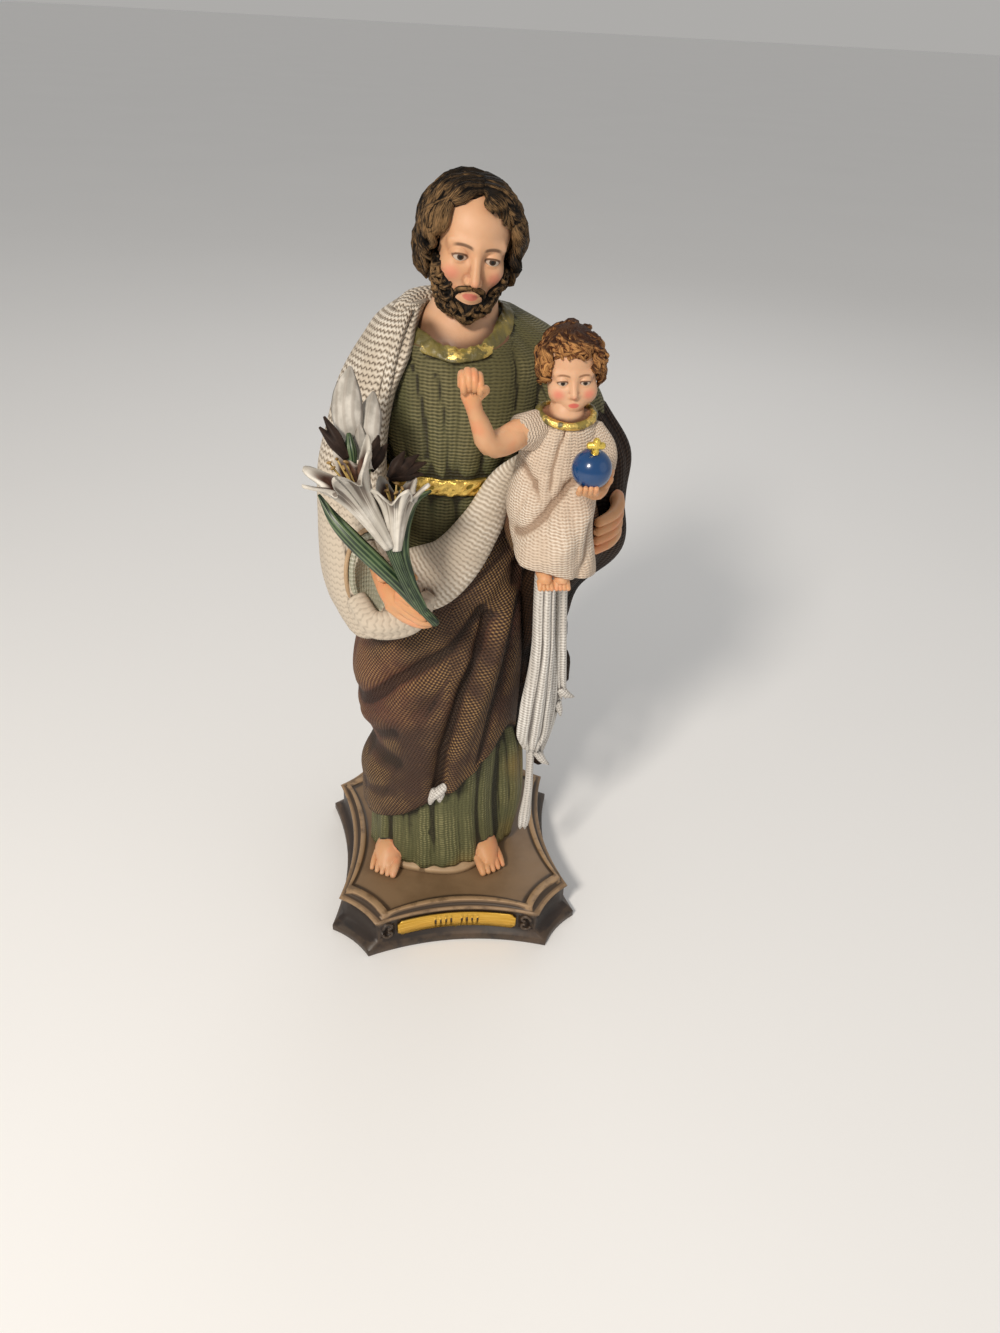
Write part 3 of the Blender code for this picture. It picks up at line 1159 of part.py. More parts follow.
def main():
    clear_scene()
    figure = build_figure()
    spray = build_spray()
    figure = cut(figure, swollen(spray, SPRAY_GAP / UNIT))
    for thing in (figure, spray):
        to_metres(thing, BASE_HEIGHT + SEAT_GAP - RIM_HEIGHT)
    plinth = build_plinth()
    plate = build_plate()
    group = bpy.data.collections.new("saint_joseph_statue")
    bpy.context.scene.collection.children.link(group)
    finish(figure, group, material("painted_figure", (0.42, 0.36, 0.27), 0.55))
    finish(spray, group, material("painted_lily", (0.72, 0.70, 0.62), 0.5))
    finish(plinth, group, material("brown_base", (0.20, 0.13, 0.08), 0.42))
    finish(plate, group, material("gilt_plate", (0.80, 0.55, 0.16), 0.3, 1.0))


main()
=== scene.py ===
"""Looks of the cast-resin Saint Joseph statue: fine relief, paint, floor, light.

The figure and the lily spray are drawn on the same grid of 285 units as the
solids, from the ground to the crown of the hair, and are scaled at the end.
"""
import math

import bmesh
import bpy
import numpy as np
from mathutils import Matrix, Vector


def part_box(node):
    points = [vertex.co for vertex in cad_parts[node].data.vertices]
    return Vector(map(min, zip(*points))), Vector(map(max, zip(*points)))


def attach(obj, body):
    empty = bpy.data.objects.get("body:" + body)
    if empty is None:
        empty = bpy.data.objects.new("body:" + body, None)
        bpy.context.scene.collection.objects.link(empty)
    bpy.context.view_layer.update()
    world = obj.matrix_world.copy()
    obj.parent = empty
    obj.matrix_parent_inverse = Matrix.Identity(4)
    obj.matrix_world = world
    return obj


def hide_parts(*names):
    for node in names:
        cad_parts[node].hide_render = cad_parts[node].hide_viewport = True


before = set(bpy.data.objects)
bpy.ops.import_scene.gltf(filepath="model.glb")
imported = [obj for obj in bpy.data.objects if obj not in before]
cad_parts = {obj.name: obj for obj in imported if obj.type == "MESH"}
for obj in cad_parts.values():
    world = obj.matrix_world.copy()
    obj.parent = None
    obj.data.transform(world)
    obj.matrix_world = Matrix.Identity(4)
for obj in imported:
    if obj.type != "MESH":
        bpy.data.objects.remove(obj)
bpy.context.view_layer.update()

# The figure, in units of its grid
MM = 0.001
UNIT = 284.7 / 285.0 * MM
FIGURE_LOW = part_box("saint_joseph_and_child")[0][2]
HEAD_HEIGHT = 38.5
CHILD_HEAD_HEIGHT = 25.6
JOSEPH_HEAD = ((1.5, -6.5, 261.5), HEAD_HEIGHT, 4.0, 7.0, 9.0)
CHILD_HEAD = ((31.6, -41.2, 231.6), CHILD_HEAD_HEIGHT, -4.0, 3.0, -3.0)

# Base, as in the solids
BASE_HEIGHT = 20.0 * MM
FOOT_WIDTH = 108.4 * MM
FOOT_DEPTH = 114.8 * MM
TOP_WIDTH = 95.2 * MM
TOP_DEPTH = 105.2 * MM
CORNER_CUT_WIDTH = 15.5 * MM
CORNER_CUT_DEPTH = 16.5 * MM
SIDE_HOLLOW = 6.5 * MM
CORNER_HOLLOW = 1.6 * MM
FOOT_FLANGE_HEIGHT = 3.6 * MM
TOP_SLAB_HEIGHT = 2.6 * MM
RIM_WIDTH = 2.2 * MM
RIM_HEIGHT = 0.7 * MM
BAND_MARGIN = 3.0 * MM
BAND_SHARE = 0.30
PLATE_LENGTH = 52.0 * MM
PLATE_HEIGHT = 8.0 * MM
PLATE_THICKNESS = 0.8 * MM
PLATE_GAP = 0.3 * MM
STROKE_LENGTH = 1.5 * MM

# The camera, from the perspective of the photograph
FRAME_HEIGHT = 1333
FOCAL_PIXELS = 1003.8
CAMERA_AT = (-0.0343, -0.3554, 0.3450)
CAMERA_AHEAD = (0.1275, 0.8282, -0.5457)
CAMERA_UP = (0.0267, 0.5471, 0.8366)

# What the faces of a mesh are painted with
FINISHES = (
    "tunic_green", "skirt_green", "wrap_brown", "cloak_brown", "mantle_white", "band_cream",
    "fall_white", "child_cream", "sleeve_green", "skin_joseph", "skin_child", "skin",
    "hair_joseph", "hair_child", "gold_leaf", "collar_gold", "cross_gold", "orb_blue",
    "ground_tan", "petal_white", "petal_grey", "throat_wash_and_shade", "bloom_shade", "stamen_gold",
    "anther_dark", "leaf_green", "base_stain", "plate_gold", "plate_ink")


# Shells

def read(items, key, width=1, kind=float):
    """One property of all points, edges or faces of a mesh."""
    found = np.zeros(len(items) * width, kind)
    items.foreach_get(key, found)
    return found.reshape(-1, width) if width > 1 else found


def turns(count):
    """Angles of equal steps once around."""
    return np.linspace(0.0, 2 * math.pi, count, endpoint=False)


def unit(ways):
    return ways / np.linalg.norm(ways, axis=-1, keepdims=True)


def changed(thing, kind, **settings):
    """The mesh that one modifier makes of an object."""
    change = thing.modifiers.new(kind.lower(), kind)
    for key, value in settings.items():
        setattr(change, key, value)
    graph = bpy.context.evaluated_depsgraph_get()
    return bpy.data.meshes.new_from_object(thing.evaluated_get(graph))


def shell(name, points, faces, uv, finish):
    """A closed shell with cloth coordinates in millimetres and one finish."""
    data = bpy.data.meshes.new(name)
    data.from_pydata([tuple(p) for p in points], [], faces)
    layer = data.uv_layers.new(name="cloth")
    corner = read(data.loops, "vertex_index", kind=int)
    layer.data.foreach_set("uv", np.asarray(uv, float)[corner].ravel())
    for name_of in FINISHES:
        data.materials.append(bpy.data.materials[name_of])
    data.polygons.foreach_set("material_index", np.full(len(data.polygons), FINISHES.index(finish)))
    shape = bmesh.new()
    shape.from_mesh(data)
    bmesh.ops.recalc_face_normals(shape, faces=shape.faces)
    shape.to_mesh(data)
    shape.free()
    return bpy.data.objects.new(name, data)


def grid_faces(rings, around):
    """Four-sided faces between rings of points that lie one after another."""
    faces = []
    for i in range(rings - 1):
        for j in range(around):
            k = (j + 1) % around
            low = i * around
            high = low + around
            faces.append((low + j, low + k, high + k, high + j))
    return faces


def capped(name, rings, finish, uv=None):
    """A closed solid from a stack of rings with the same number of points."""
    rings = np.asarray(rings, float)
    count, around = rings.shape[:2]
    if uv is None:
        girth = np.linalg.norm(np.diff(rings, axis=1), axis=2).sum(axis=1).mean()
        rise = np.linalg.norm(np.diff(rings, axis=0), axis=2).mean(axis=1)
        run = np.concatenate([[0.0], np.cumsum(rise)])
        u = np.abs(np.linspace(-1, 1, around, endpoint=False)) * girth
        uv = np.stack(np.meshgrid(u, run), axis=-1)
    points = list(rings.reshape(-1, 3))
    marks = list(np.asarray(uv).reshape(-1, 2))
    faces = grid_faces(count, around)
    for row in (0, count - 1):
        middle = len(points)
        points.append(rings[row].mean(axis=0))
        marks.append(marks[row * around])
        for j in range(around):
            faces.append((row * around + j, row * around + (j + 1) % around, middle))
    return shell(name, points, faces, marks, finish)


def blend(rows, key):
    """Smooth values at each key from rows of (key, value, value, ...)."""
    rows = np.array(rows, float)
    keys = rows[:, 0]
    values = rows[:, 1:]
    slopes = np.gradient(values, keys, axis=0)
    key = np.clip(np.asarray(key, float), keys[0], keys[-1])
    low = np.clip(np.searchsorted(keys, key, side="right") - 1, 0, len(keys) - 2)
    span = (keys[low + 1] - keys[low])[..., None]
    s = (key[..., None] - keys[low][..., None]) / span
    start = (1 + 2 * s) * (1 - s) ** 2 * values[low]
    leave = s * (1 - s) ** 2 * span * slopes[low]
    end = s * s * (3 - 2 * s) * values[low + 1]
    arrive = s * s * (s - 1) * span * slopes[low + 1]
    return start + leave + end + arrive


def course(points, count):
    """A smooth line through points (x, y, z, radius or more)."""
    points = np.array(points, float)
    steps = np.linalg.norm(np.diff(points[:, :3], axis=0), axis=1)
    run = np.concatenate([[0.0], np.cumsum(steps)])
    rows = np.column_stack([run, points])
    return blend(rows, np.linspace(0.0, run[-1], count))


def tube(name, line, finish, sides=12, count=18, ribs=0, rib_size=0.0):
    """A tapered tube with round ends along a line of (x, y, z, radius)."""
    points = course(line, count)
    radius = np.maximum(points[:, 3], 0.12)
    ahead = unit(np.gradient(points[:, :3], axis=0))
    side = np.cross(ahead[0], (0.3, 0.2, 1.0))
    angle = turns(sides)
    rings = []
    places = list(zip(points[:, :3], radius, ahead))
    first = (points[0, :3] - ahead[0] * radius[0] * 0.55, radius[0] * 0.6, ahead[0])
    last = (points[-1, :3] + ahead[-1] * radius[-1] * 0.55, radius[-1] * 0.6, ahead[-1])
    for i, (place, size, way) in enumerate([first] + places + [last]):
        side = unit(side - way * (side @ way))
        up = np.cross(way, side)
        rib = 1.0 + rib_size * np.cos(ribs * angle + 0.25 * i)
        ring = np.cos(angle)[:, None] * side + np.sin(angle)[:, None] * up
        rings.append(place + ring * (size * rib)[:, None])
    return capped(name, rings, finish)


def tubes(name, lines, finish, **options):
    return [tube(name, line, finish, **options) for line in lines]


def ellipsoid(name, centre, radii, turn, finish, rings=16):
    tilt = np.linspace(0.0, math.pi, rings + 2)[1:-1]
    tilt, angle = np.meshgrid(tilt, turns(2 * rings), indexing="ij")
    ball = np.stack([np.sin(tilt) * np.cos(angle), np.sin(tilt) * np.sin(angle), np.cos(tilt)], axis=-1)
    spin = Matrix.Rotation(math.radians(turn[2]), 3, "Z")
    spin = spin @ Matrix.Rotation(math.radians(turn[0]), 3, "X")
    spin = np.array(spin @ Matrix.Rotation(math.radians(turn[1]), 3, "Y"))
    return capped(name, (ball * np.array(radii)) @ spin.T + np.array(centre), finish)


def united(name, shells):
    """One closed skin from overlapping shells, each keeping its finish."""
    scene = bpy.context.scene.collection
    base = shells[0]
    scene.objects.link(base)
    others = bpy.data.collections.new(name + "_parts")
    scene.children.link(others)
    for one in shells[1:]:
        others.objects.link(one)
    data = changed(base, "BOOLEAN", operation="UNION", operand_type="COLLECTION", collection=others,
                   solver="MANIFOLD")
    for one in shells:
        bpy.data.objects.remove(one)
    bpy.data.collections.remove(others)
    made = bpy.data.objects.new(name, data)
    scene.objects.link(made)
    return made


def without(thing, tool):
    """A shell with another shell cut out of it."""
    scene = bpy.context.scene.collection
    scene.objects.link(thing)
    scene.objects.link(tool)
    data = changed(thing, "BOOLEAN", operation="DIFFERENCE", solver="MANIFOLD", object=tool)
    name = thing.name
    bpy.data.objects.remove(thing)
    bpy.data.objects.remove(tool)
    return bpy.data.objects.new(name, data)


# Cloth

def garment(name, sections, low, high, fold, finish, around=120, rings=80):
    """A closed robe from level sections (z, x, y, left, right, front, back)."""
    angle = turns(around)
    share = np.linspace(0.0, 1.0, rings)[:, None]
    z = low(angle)[None, :] * (1 - share) + high(angle)[None, :] * share
    value = blend(sections, z)
    across = np.cos(angle)[None, :]
    along = np.sin(angle)[None, :]
    wide = np.where(across > 0, value[..., 3], value[..., 2])
    deep = np.where(along > 0, value[..., 5], value[..., 4])
    x = value[..., 0] + wide * across
    y = value[..., 1] + deep * along
    push = fold(np.broadcast_to(angle, z.shape), x, z)
    skin = np.stack([x + push * across, y + push * along, z], axis=-1)
    round_about = np.abs(((angle - math.pi / 2) % (2 * math.pi)) - math.pi)
    u = np.broadcast_to(round_about * np.mean(value[..., 4]), z.shape)
    smooth = np.stack([x, y, z], axis=-1)
    run = np.cumsum(np.linalg.norm(np.diff(smooth, axis=0), axis=2), axis=0)
    v = z[:1] + np.concatenate([np.zeros_like(run[:1]), run])
    return capped(name, skin, finish, np.stack([u, v], axis=-1))


def crowned(thing, finish, around):
    """Gives the cap over the last ring of a shell another finish."""
    faces = thing.data.polygons
    index = read(faces, "material_index", kind=int)
    index[-around:] = FINISHES.index(finish)
    faces.foreach_set("material_index", index)
    return thing


def level(height):
    """An edge at one height all around."""
    return lambda angle: np.full_like(angle, height)


def crease(x, z, line, width):
    """How near, from 0 to 1, a point lies to a line of (x, z) places."""
    line = np.array(line, float)
    near = np.full(np.shape(x), 1e9)
    for start, end in zip(line[:-1], line[1:]):
        run = end - start
        along = np.clip(((x - start[0]) * run[0] + (z - start[1]) * run[1]) / (run @ run), 0.0, 1.0)
        near = np.minimum(near, np.hypot(x - start[0] - along * run[0], z - start[1] - along * run[1]))
    return np.exp(-(near / width) ** 2)


def pleat(phase):
    """Broad round ridges with narrow valleys, from -0.64 to 0.36."""
    return np.abs(np.cos(phase)) - 0.64


def ribbon(name, path, half_width, half_depth, ridges, rise, finish, count=48, around=46, ends=None):
    """A thick folded band along path rows (x, y, z, tilt in degrees)."""
    rows = course(path, count)
    share = np.linspace(0.0, 1.0, count)
    wide = blend(half_width, share)[:, 0]
    deep = blend(half_depth, share)[:, 0]
    ahead = unit(np.gradient(rows[:, :3], axis=0))
    angle = turns(around)
    run = np.concatenate([[0.0], np.cumsum(np.linalg.norm(np.diff(rows[:, :3], axis=0), axis=1))])
    rings = []
    marks = []
    for i in range(count):
        tilt = math.radians(rows[i, 3])
        side = unit(np.cross(ahead[i], (math.sin(tilt), -math.cos(tilt), 0.0)))
        outward = np.cross(side, ahead[i])
        push = rise * pleat(ridges * np.cos(angle) * 1.6 + 0.4) * (0.3 + 0.7 * np.abs(np.sin(angle)))
        across = wide[i] * np.cos(angle)
        depth = (deep[i] + push) * np.sin(angle)
        ring = rows[i, :3] + across[:, None] * side + depth[:, None] * outward
        if ends is not None:
            ring = ring + ends(np.cos(angle), share[i])[:, None] * ahead[i]
        rings.append(ring)
        marks.append(np.stack([across, np.full_like(across, run[i])], axis=-1))
    return capped(name, rings, finish, np.array(marks))


def tunic_fold(angle, x, z):
    hem = np.clip((60.0 - z) / 60.0, 0.0, 1.0)
    sway = 0.25 * np.sin(z / 19.0)
    size = 0.7 + 2.4 * hem
    broad = 0.62 * pleat(8.5 * angle + sway) + 0.38 * pleat(13.0 * angle + 2.0 - sway)
    return size * broad + 0.6 * hem * np.cos(5 * angle + 1.0)


CHEST_CREASES = (((-20, 230), (-17, 222), (-14.5, 209), (-13.8, 196)),
                 ((-10, 223), (-7.5, 210), (-5.8, 189)),
                 ((5.1, 204), (6.3, 194)), ((16, 236), (18, 222), (18, 212)))


def chest_fold(angle, x, z):
    near = np.exp(-((z - 188.0) / 22.0) ** 2)
    front = front_share(angle)
    push = (0.3 + 0.7 * near) * pleat(9.0 * angle + 0.02 * (z - 180.0))
    for line in CHEST_CREASES:
        push = push - front * crease(x, z, line, 0.9)
    return push


def chest_top(angle):
    """The neckline's edge, lower at the front and at the figure's right."""
    front = np.clip(-np.sin(angle), 0, 1)
    right = np.clip(-np.cos(angle), 0, 1)
    return 238.4 - 8.6 * front ** 1.5 - 3.2 * right ** 2


def wrap_top(angle):
    x = -5.0 + 30.0 * np.cos(angle)
    front = np.interp(x, [-35, -21, -9, 2, 13, 25], [148, 148, 150, 161, 178, 176])
    share = np.clip(0.5 - 1.6 * np.sin(angle), 0.0, 1.0)
    return front * share + 172.0 * (1 - share)


def front_share(angle):
    return np.clip(0.5 - 0.9 * np.sin(angle), 0.0, 1.0)


def wrap_hem(angle):
    x = -5.0 + 33.0 * np.cos(angle)
    front = np.interp(x, [-38, -30, -20, -13, -6, 2, 10, 17, 22, 28],
                      [22, 28.5, 36, 43, 48.5, 55, 59.5, 67, 75, 86])
    share = front_share(angle)
    return front * share + 27.0 * (1 - share)


WRAP_CREASES = (
    (((8, 136), (-4, 121), (-26, 103), (-42, 83)), 3.6, 3.8),
    (((-40, 74), (-18, 96), (4, 115)), 4.5, -1.8),
    (((-26, 77), (-34, 73), (-42, 71)), 5.0, 1.5),
    (((12, 132), (0.5, 98), (-6.6, 72), (-8.6, 52)), 2.8, 5.0),
    (((20, 140), (9, 100), (0, 70), (-2, 48)), 3.2, -2.6),
    (((22, 152), (21, 113), (14, 84), (10, 62)), 2.6, 2.0),
    (((-26, 61), (-34, 55), (-42, 50)), 5.0, 0.8),
    (((-16, 57), (-28, 45), (-42, 36)), 4.2, 1.2),
)


def wrap_fold(angle, x, z):
    """Swags that fan out down to the left from below the Child."""
    dx = x - 30.0
    dz = 170.0 - z
    reach = np.hypot(dx, dz)
    fan = np.arctan2(-dx, np.maximum(dz, 1.0))
    size = np.clip(reach / 70.0, 0.25, 1.0)
    swag = 1.5 * size * pleat(8.2 * fan + 0.35 * np.sin(reach / 24.0) + 0.5)
    swag += 1.0 * size * pleat(17.0 * fan + 1.1 + reach / 60.0)
    for line, width, depth in WRAP_CREASES:
        swag = swag - depth * crease(x, z, line, width)
    knee = 2.5 * np.exp(-((x + 17.0) / 11.0) ** 2 - ((z - 78.0) / 20.0) ** 2)
    waist = 2.0 * np.exp(-((z - 62.0) / 7.0) ** 2) * np.clip(-np.cos(angle), 0.0, 1.0) ** 2
    back = 1.8 * pleat(6.0 * angle + 0.01 * z)
    share = front_share(angle)
    return (swag + knee) * share + back * (1 - share) - waist


def arm_fold(angle, x, z):
    """Long swags that hang around the bent right arm."""
    drop = np.clip((210.0 - z) / 60.0, 0.0, 1.0)
    turn = angle * 3.0 + (z - 130.0) / 26.0
    return (0.5 + 1.7 * drop) * pleat(turn)


def cloak_fold(angle, x, z):
    return 1.8 * pleat(4.0 * angle + z / 30.0) + 0.9 * np.cos(z / 6.0 + 2 * angle)


def child_fold(angle, x, z):
    lap = np.clip((205.0 - z) / 25.0, 0.0, 1.0)
    fan = np.arctan2(x - 27.0, 205.0 - np.minimum(z, 203.0))
    front = front_share(angle)
    push = (0.3 + 0.9 * lap) * pleat(4.0 * fan + 2.0 * angle)
    taper = np.clip((x - 8.0) / 12.0, 0.0, 1.0)
    push = push - 3.0 * taper * front * crease(x, z, ((32, 199), (23, 191), (13.5, 182)), 2.0)
    push = push + 2.4 * front * crease(x, z, ((36, 190), (27, 182), (19, 174)), 5.0)
    push = push - 1.0 * front * crease(x, z, ((29, 217), (26, 209), (24, 197)), 0.9)
    push = push - 1.4 * front * crease(x, z, ((14, 205), (19, 199), (21, 194)), 1.6)
    return push - 1.6 * front * crease(x, z, ((37, 187), (37, 177), (34, 168)), 1.6)


# Heads

def soft_join(a, b, k):
    h = np.clip(0.5 + 0.5 * (b - a) / k, 0.0, 1.0)
    return b + (a - b) * h - k * h * (1 - h)


def soft_cut(a, b, k):
    return -soft_join(-a, b, k)


def egg(p, centre, radii):
    q = (p - np.array(centre)) / np.array(radii)
    far = np.linalg.norm(q, axis=-1)
    steep = np.linalg.norm(q / np.array(radii), axis=-1)
    return far * (far - 1.0) / np.maximum(steep, 1e-6)


def limb(p, a, b, radius_a, radius_b):
    a = np.array(a)
    b = np.array(b)
    along = np.clip(((p - a) @ (b - a)) / ((b - a) @ (b - a)), 0.0, 1.0)
    near = a + along[..., None] * (b - a)
    return np.linalg.norm(p - near, axis=-1) - (radius_a + (radius_b - radius_a) * along)


def face_field(p, full):
    """Signed distance to a head one unit high, with its face towards -Y.

    full runs from 0 for a grown man to 1 for a small child, whose features
    sit lower and whose cheeks are rounder.
    """
    p = np.array(p)
    p[..., 0] = np.abs(p[..., 0])
    d = egg(p, (0, 0.07, 0.13), (0.345, 0.43, 0.37))
    d = soft_join(d, egg(p, (0, -0.08, -0.14), (0.275 + 0.03 * full, 0.30, 0.35 - 0.04 * full)), 0.08)
    muzzle = egg(p, (0, -0.15, -0.33 + 0.055 * full), (0.20 + 0.025 * full, 0.22, 0.165 - 0.01 * full))
    d = soft_join(d, muzzle, 0.06 + 0.03 * full)
    d = soft_join(d, egg(p, (0, -0.325 + 0.01 * full, -0.42 + 0.045 * full), (0.085, 0.08, 0.075)), 0.07)
    cheek = (0.165, -0.25, -0.11 - 0.09 * full)
    d = soft_join(d, egg(p, cheek, (0.10 + 0.035 * full, 0.11, 0.10 + 0.035 * full)), 0.09)
    q = p.copy()
    q[..., 2] += 0.05 * full
    brow = limb(q, (0.0, -0.345 + 0.02 * full, 0.075), (0.21, -0.27, 0.085), 0.05, 0.04)
    d = soft_join(d, brow, 0.06)
    eye = np.array((0.14, -0.285, -0.005))
    d = soft_cut(d, egg(q, (0.14, -0.42, -0.005), (0.088, 0.085, 0.06)), 0.05)
    d = soft_join(d, egg(q, eye, (0.078, 0.082, 0.078)), 0.012)
    lid_line = 0.022 - 3.5 * (q[..., 0] - 0.14) ** 2
    upper = np.maximum(egg(q, eye, (0.088, 0.094, 0.09)), lid_line - q[..., 2])
    d = soft_join(d, upper, 0.006)
    lower = np.maximum(egg(q, eye, (0.085, 0.089, 0.085)), q[..., 2] + 0.040)
    d = soft_join(d, lower, 0.010)
    tip = (0, -0.475 + 0.045 * full, -0.165 + 0.02 * full)
    d = soft_join(d, limb(q, (0, -0.345 + 0.02 * full, 0.05), tip, 0.032, 0.042), 0.045)
    d = soft_join(d, egg(q, (0.045, -0.405 + 0.03 * full, -0.185 + 0.02 * full), (0.034, 0.045, 0.03)),
                  0.02)
    d = soft_join(d, egg(q, (0, -0.31, -0.30 + 0.02 * full), (0.13, 0.09, 0.10)), 0.06)
    q[..., 2] -= 0.03 * full
    d = soft_join(d, egg(q, (0, -0.375, -0.282), (0.082, 0.042, 0.022)), 0.018)
    d = soft_join(d, egg(q, (0, -0.37, -0.325), (0.066, 0.044, 0.026)), 0.018)
    d = soft_cut(d, limb(q, (0, -0.425, -0.303), (0.09 - 0.03 * full, -0.385, -0.300), 0.008, 0.005),
                 0.012)
    return soft_join(d, egg(p, (0.345, 0.03, -0.06), (0.035, 0.07, 0.11)), 0.02)


def skull_field(p):
    d = egg(p, (0, 0.07, 0.13), (0.345, 0.43, 0.37))
    return soft_join(d, egg(p, (0, 0.04, -0.08), (0.31, 0.36, 0.36)), 0.06)


def cast_out(field, directions):
    """Distance from the middle of the head to its skin along directions."""
    low = np.full(directions.shape[:-1], 0.02)
    high = np.full(directions.shape[:-1], 0.9)
    for _ in range(20):
        middle = 0.5 * (low + high)
        inside = field(directions * middle[..., None]) < 0
        low = np.where(inside, middle, low)
        high = np.where(inside, high, middle)
    return 0.5 * (low + high)


def head_place(centre, height, yaw, pitch, roll):
    place = Matrix.Translation(centre) @ Matrix.Rotation(math.radians(yaw), 4, "Z")
    place = place @ Matrix.Rotation(math.radians(pitch), 4, "X")
    place = place @ Matrix.Rotation(math.radians(roll), 4, "Y")
    return np.array(place @ Matrix.Scale(height, 4))


def placed(place, points):
    points = np.asarray(points, float)
    return points @ place[:3, :3].T + place[:3, 3]


def head(name, place, full, finish, rings=100, around=100):
    """The head's skin."""
    ways = around_head(rings, around, 1.5)
    reach = cast_out(lambda p: face_field(p, full), ways)
    reach = reach - 0.05 * np.clip((ways[..., 1] - 0.05) / 0.25, 0.0, 1.0)
    return capped(name, placed(place, ways * reach[..., None]), finish)


def heading(turn, rise):
    """Unit vector, with turn from the face round to the side, in degrees."""
    turn = np.radians(turn)
    rise = np.radians(rise)
    return np.stack([np.sin(turn) * np.cos(rise), -np.cos(turn) * np.cos(rise), np.sin(rise)], axis=-1)


def strand(place, start, middle, end, lift, girth, wave, waves, phase, count=15):
    """A wavy lock laid over the skull along three headings."""
    share = np.linspace(0.0, 1.0, count)
    mix = share[:, None]
    way = unit(start * (1 - mix) ** 2 + middle * 2 * mix * (1 - mix) + end * mix ** 2)
    ahead = np.gradient(way, axis=0)
    side = np.cross(way, ahead)
    side /= np.linalg.norm(side, axis=1)[:, None] + 1e-9
    grow = np.clip(share * 1.6, 0.0, 1.0)
    swing = np.sin(waves * 2 * math.pi * share + phase)
    way = unit(way + side * (wave * swing * grow)[:, None])
    height = np.interp(share, [0, 0.45, 0.85, 1], lift)
    height = height + 0.22 * wave * np.cos(waves * 2 * math.pi * share + phase) * grow
    thick = np.interp(share, [0, 0.25, 0.7, 1], girth)
    reach = cast_out(skull_field, way) + height
    scale = np.linalg.norm(place[:3, 0])
    return np.column_stack([placed(place, way * reach[:, None]), thick * scale])


def joseph_hair(place, seed):
    """Layers of wavy locks from a middle parting down to the jaw."""
    random = np.random.default_rng(seed)
    lines = []
    for side in (-1, 1):
        for layer, count in enumerate((22, 24, 20)):
            for i in range(count):
                share = i / (count - 1)
                top = heading(5.0 * side - 4.0, 70.0 + 58.0 * share)
                middle = heading(side * (58.0 + 96.0 * share), 46.0 - 12.0 * share)
                if layer == 2:
                    top = heading(side * (54.0 + 112.0 * share), 40.0 + random.uniform(-12, 12))
                    middle = heading(side * (68.0 + 98.0 * share), 8.0)
                turn = 70.0 + 106.0 * share + random.uniform(-6, 6)
                drop = -34.0 - 10.0 * share + random.uniform(-10, 8)
                if share < 0.1:
                    drop = random.uniform(-20, -8)
                end = heading(side * turn, drop)
                lift = np.array([0.01, 0.035, 0.085, 0.06]) + (0.0, 0.018, 0.035)[layer]
                lift = lift + random.uniform(-0.012, 0.018)
                girth = np.array([0.022, 0.038, 0.042, 0.014]) * random.uniform(0.8, 1.2)
                wave = random.uniform(0.08, 0.15)
                waves = random.uniform(1.8, 2.8)
                phase = random.uniform(0, 6.3)
                lines.append(strand(place, top, middle, end, lift, girth, wave, waves, phase, 19))
    for i in range(7):
        end = heading(12.0 + 7.0 * i, 47.0 - 2.0 * i + random.uniform(-2, 2))
        middle = heading(6.0 + 5.0 * i, 62.0)
        lift = (0.02, 0.05, 0.05, 0.03)
        girth = (0.022, 0.032, 0.028, 0.010)
        lines.append(strand(place, heading(-6.0, 74.0), middle, end, lift, girth, 0.07, 1.0, i))
    return lines


def child_hair(place, seed):
    """Short tousled curls that spread from the crown."""
    random = np.random.default_rng(seed)
    lines = []
    for layer, count in enumerate((84, 70)):
        for i in range(count):
            share = (i + 0.5) / count
            turn = (i * 137.5) % 360.0 - 180.0
            edge = 38.0 if abs(turn) < 50 else 4.0 - 34.0 * min(1.0, (abs(turn) - 50.0) / 50.0)
            start = 84.0 - (84.0 - edge - 24.0) * math.sqrt(share)
            end = max(start - random.uniform(34, 48), edge + random.uniform(-7, 7))
            top = heading(turn + random.uniform(-14, 14), start)
            tip = heading(turn + random.uniform(-22, 22), end)
            middle = heading(turn + random.uniform(-18, 18), 0.5 * (start + end))
            lift = np.array([0.02, 0.05, 0.06, 0.035]) + 0.015 * layer + random.uniform(-0.01, 0.015)
            lift = lift * (0.4 if start > 60 else 1.0)
            girth = np.array([0.028, 0.042, 0.040, 0.016]) * random.uniform(0.85, 1.1)
            phase = random.uniform(0, 6.3)
            wave = random.uniform(0.08, 0.16)
            lines.append(strand(place, top, middle, tip, lift, girth, wave, 1.5, phase, 11))
    return lines


def bearded(turn, rise):
    """1 where the beard grows, 0 on bare skin, for headings in degrees."""
    turn = np.abs(turn)
    low = np.clip((-40.0 - rise) / 4.0, 0.0, 1.0)
    bare = 20.0 + (rise + 40.0) * 1.15
    side = np.clip((turn - bare) / 5.0, 0.0, 1.0) * np.clip((-8.0 - rise) / 6.0, 0.0, 1.0)
    return np.maximum(low, side) * np.clip((94.0 - turn) / 10.0, 0.0, 1.0)


def jaw_reach(way):
    """Distance to the skin, or to the pad of the beard where it grows."""
    turn = np.degrees(np.arctan2(way[..., 0], -way[..., 1]))
    rise = np.degrees(np.arcsin(np.clip(way[..., 2], -1.0, 1.0)))
    grown_over = bearded(turn, rise)
    jowl = np.exp(-((np.abs(turn) - 42.0) / 20.0) ** 2 - ((rise + 52.0) / 14.0) ** 2)
    return cast_out(lambda p: face_field(p, 0.0), way) + (0.08 + 0.03 * jowl) * grown_over - 0.045


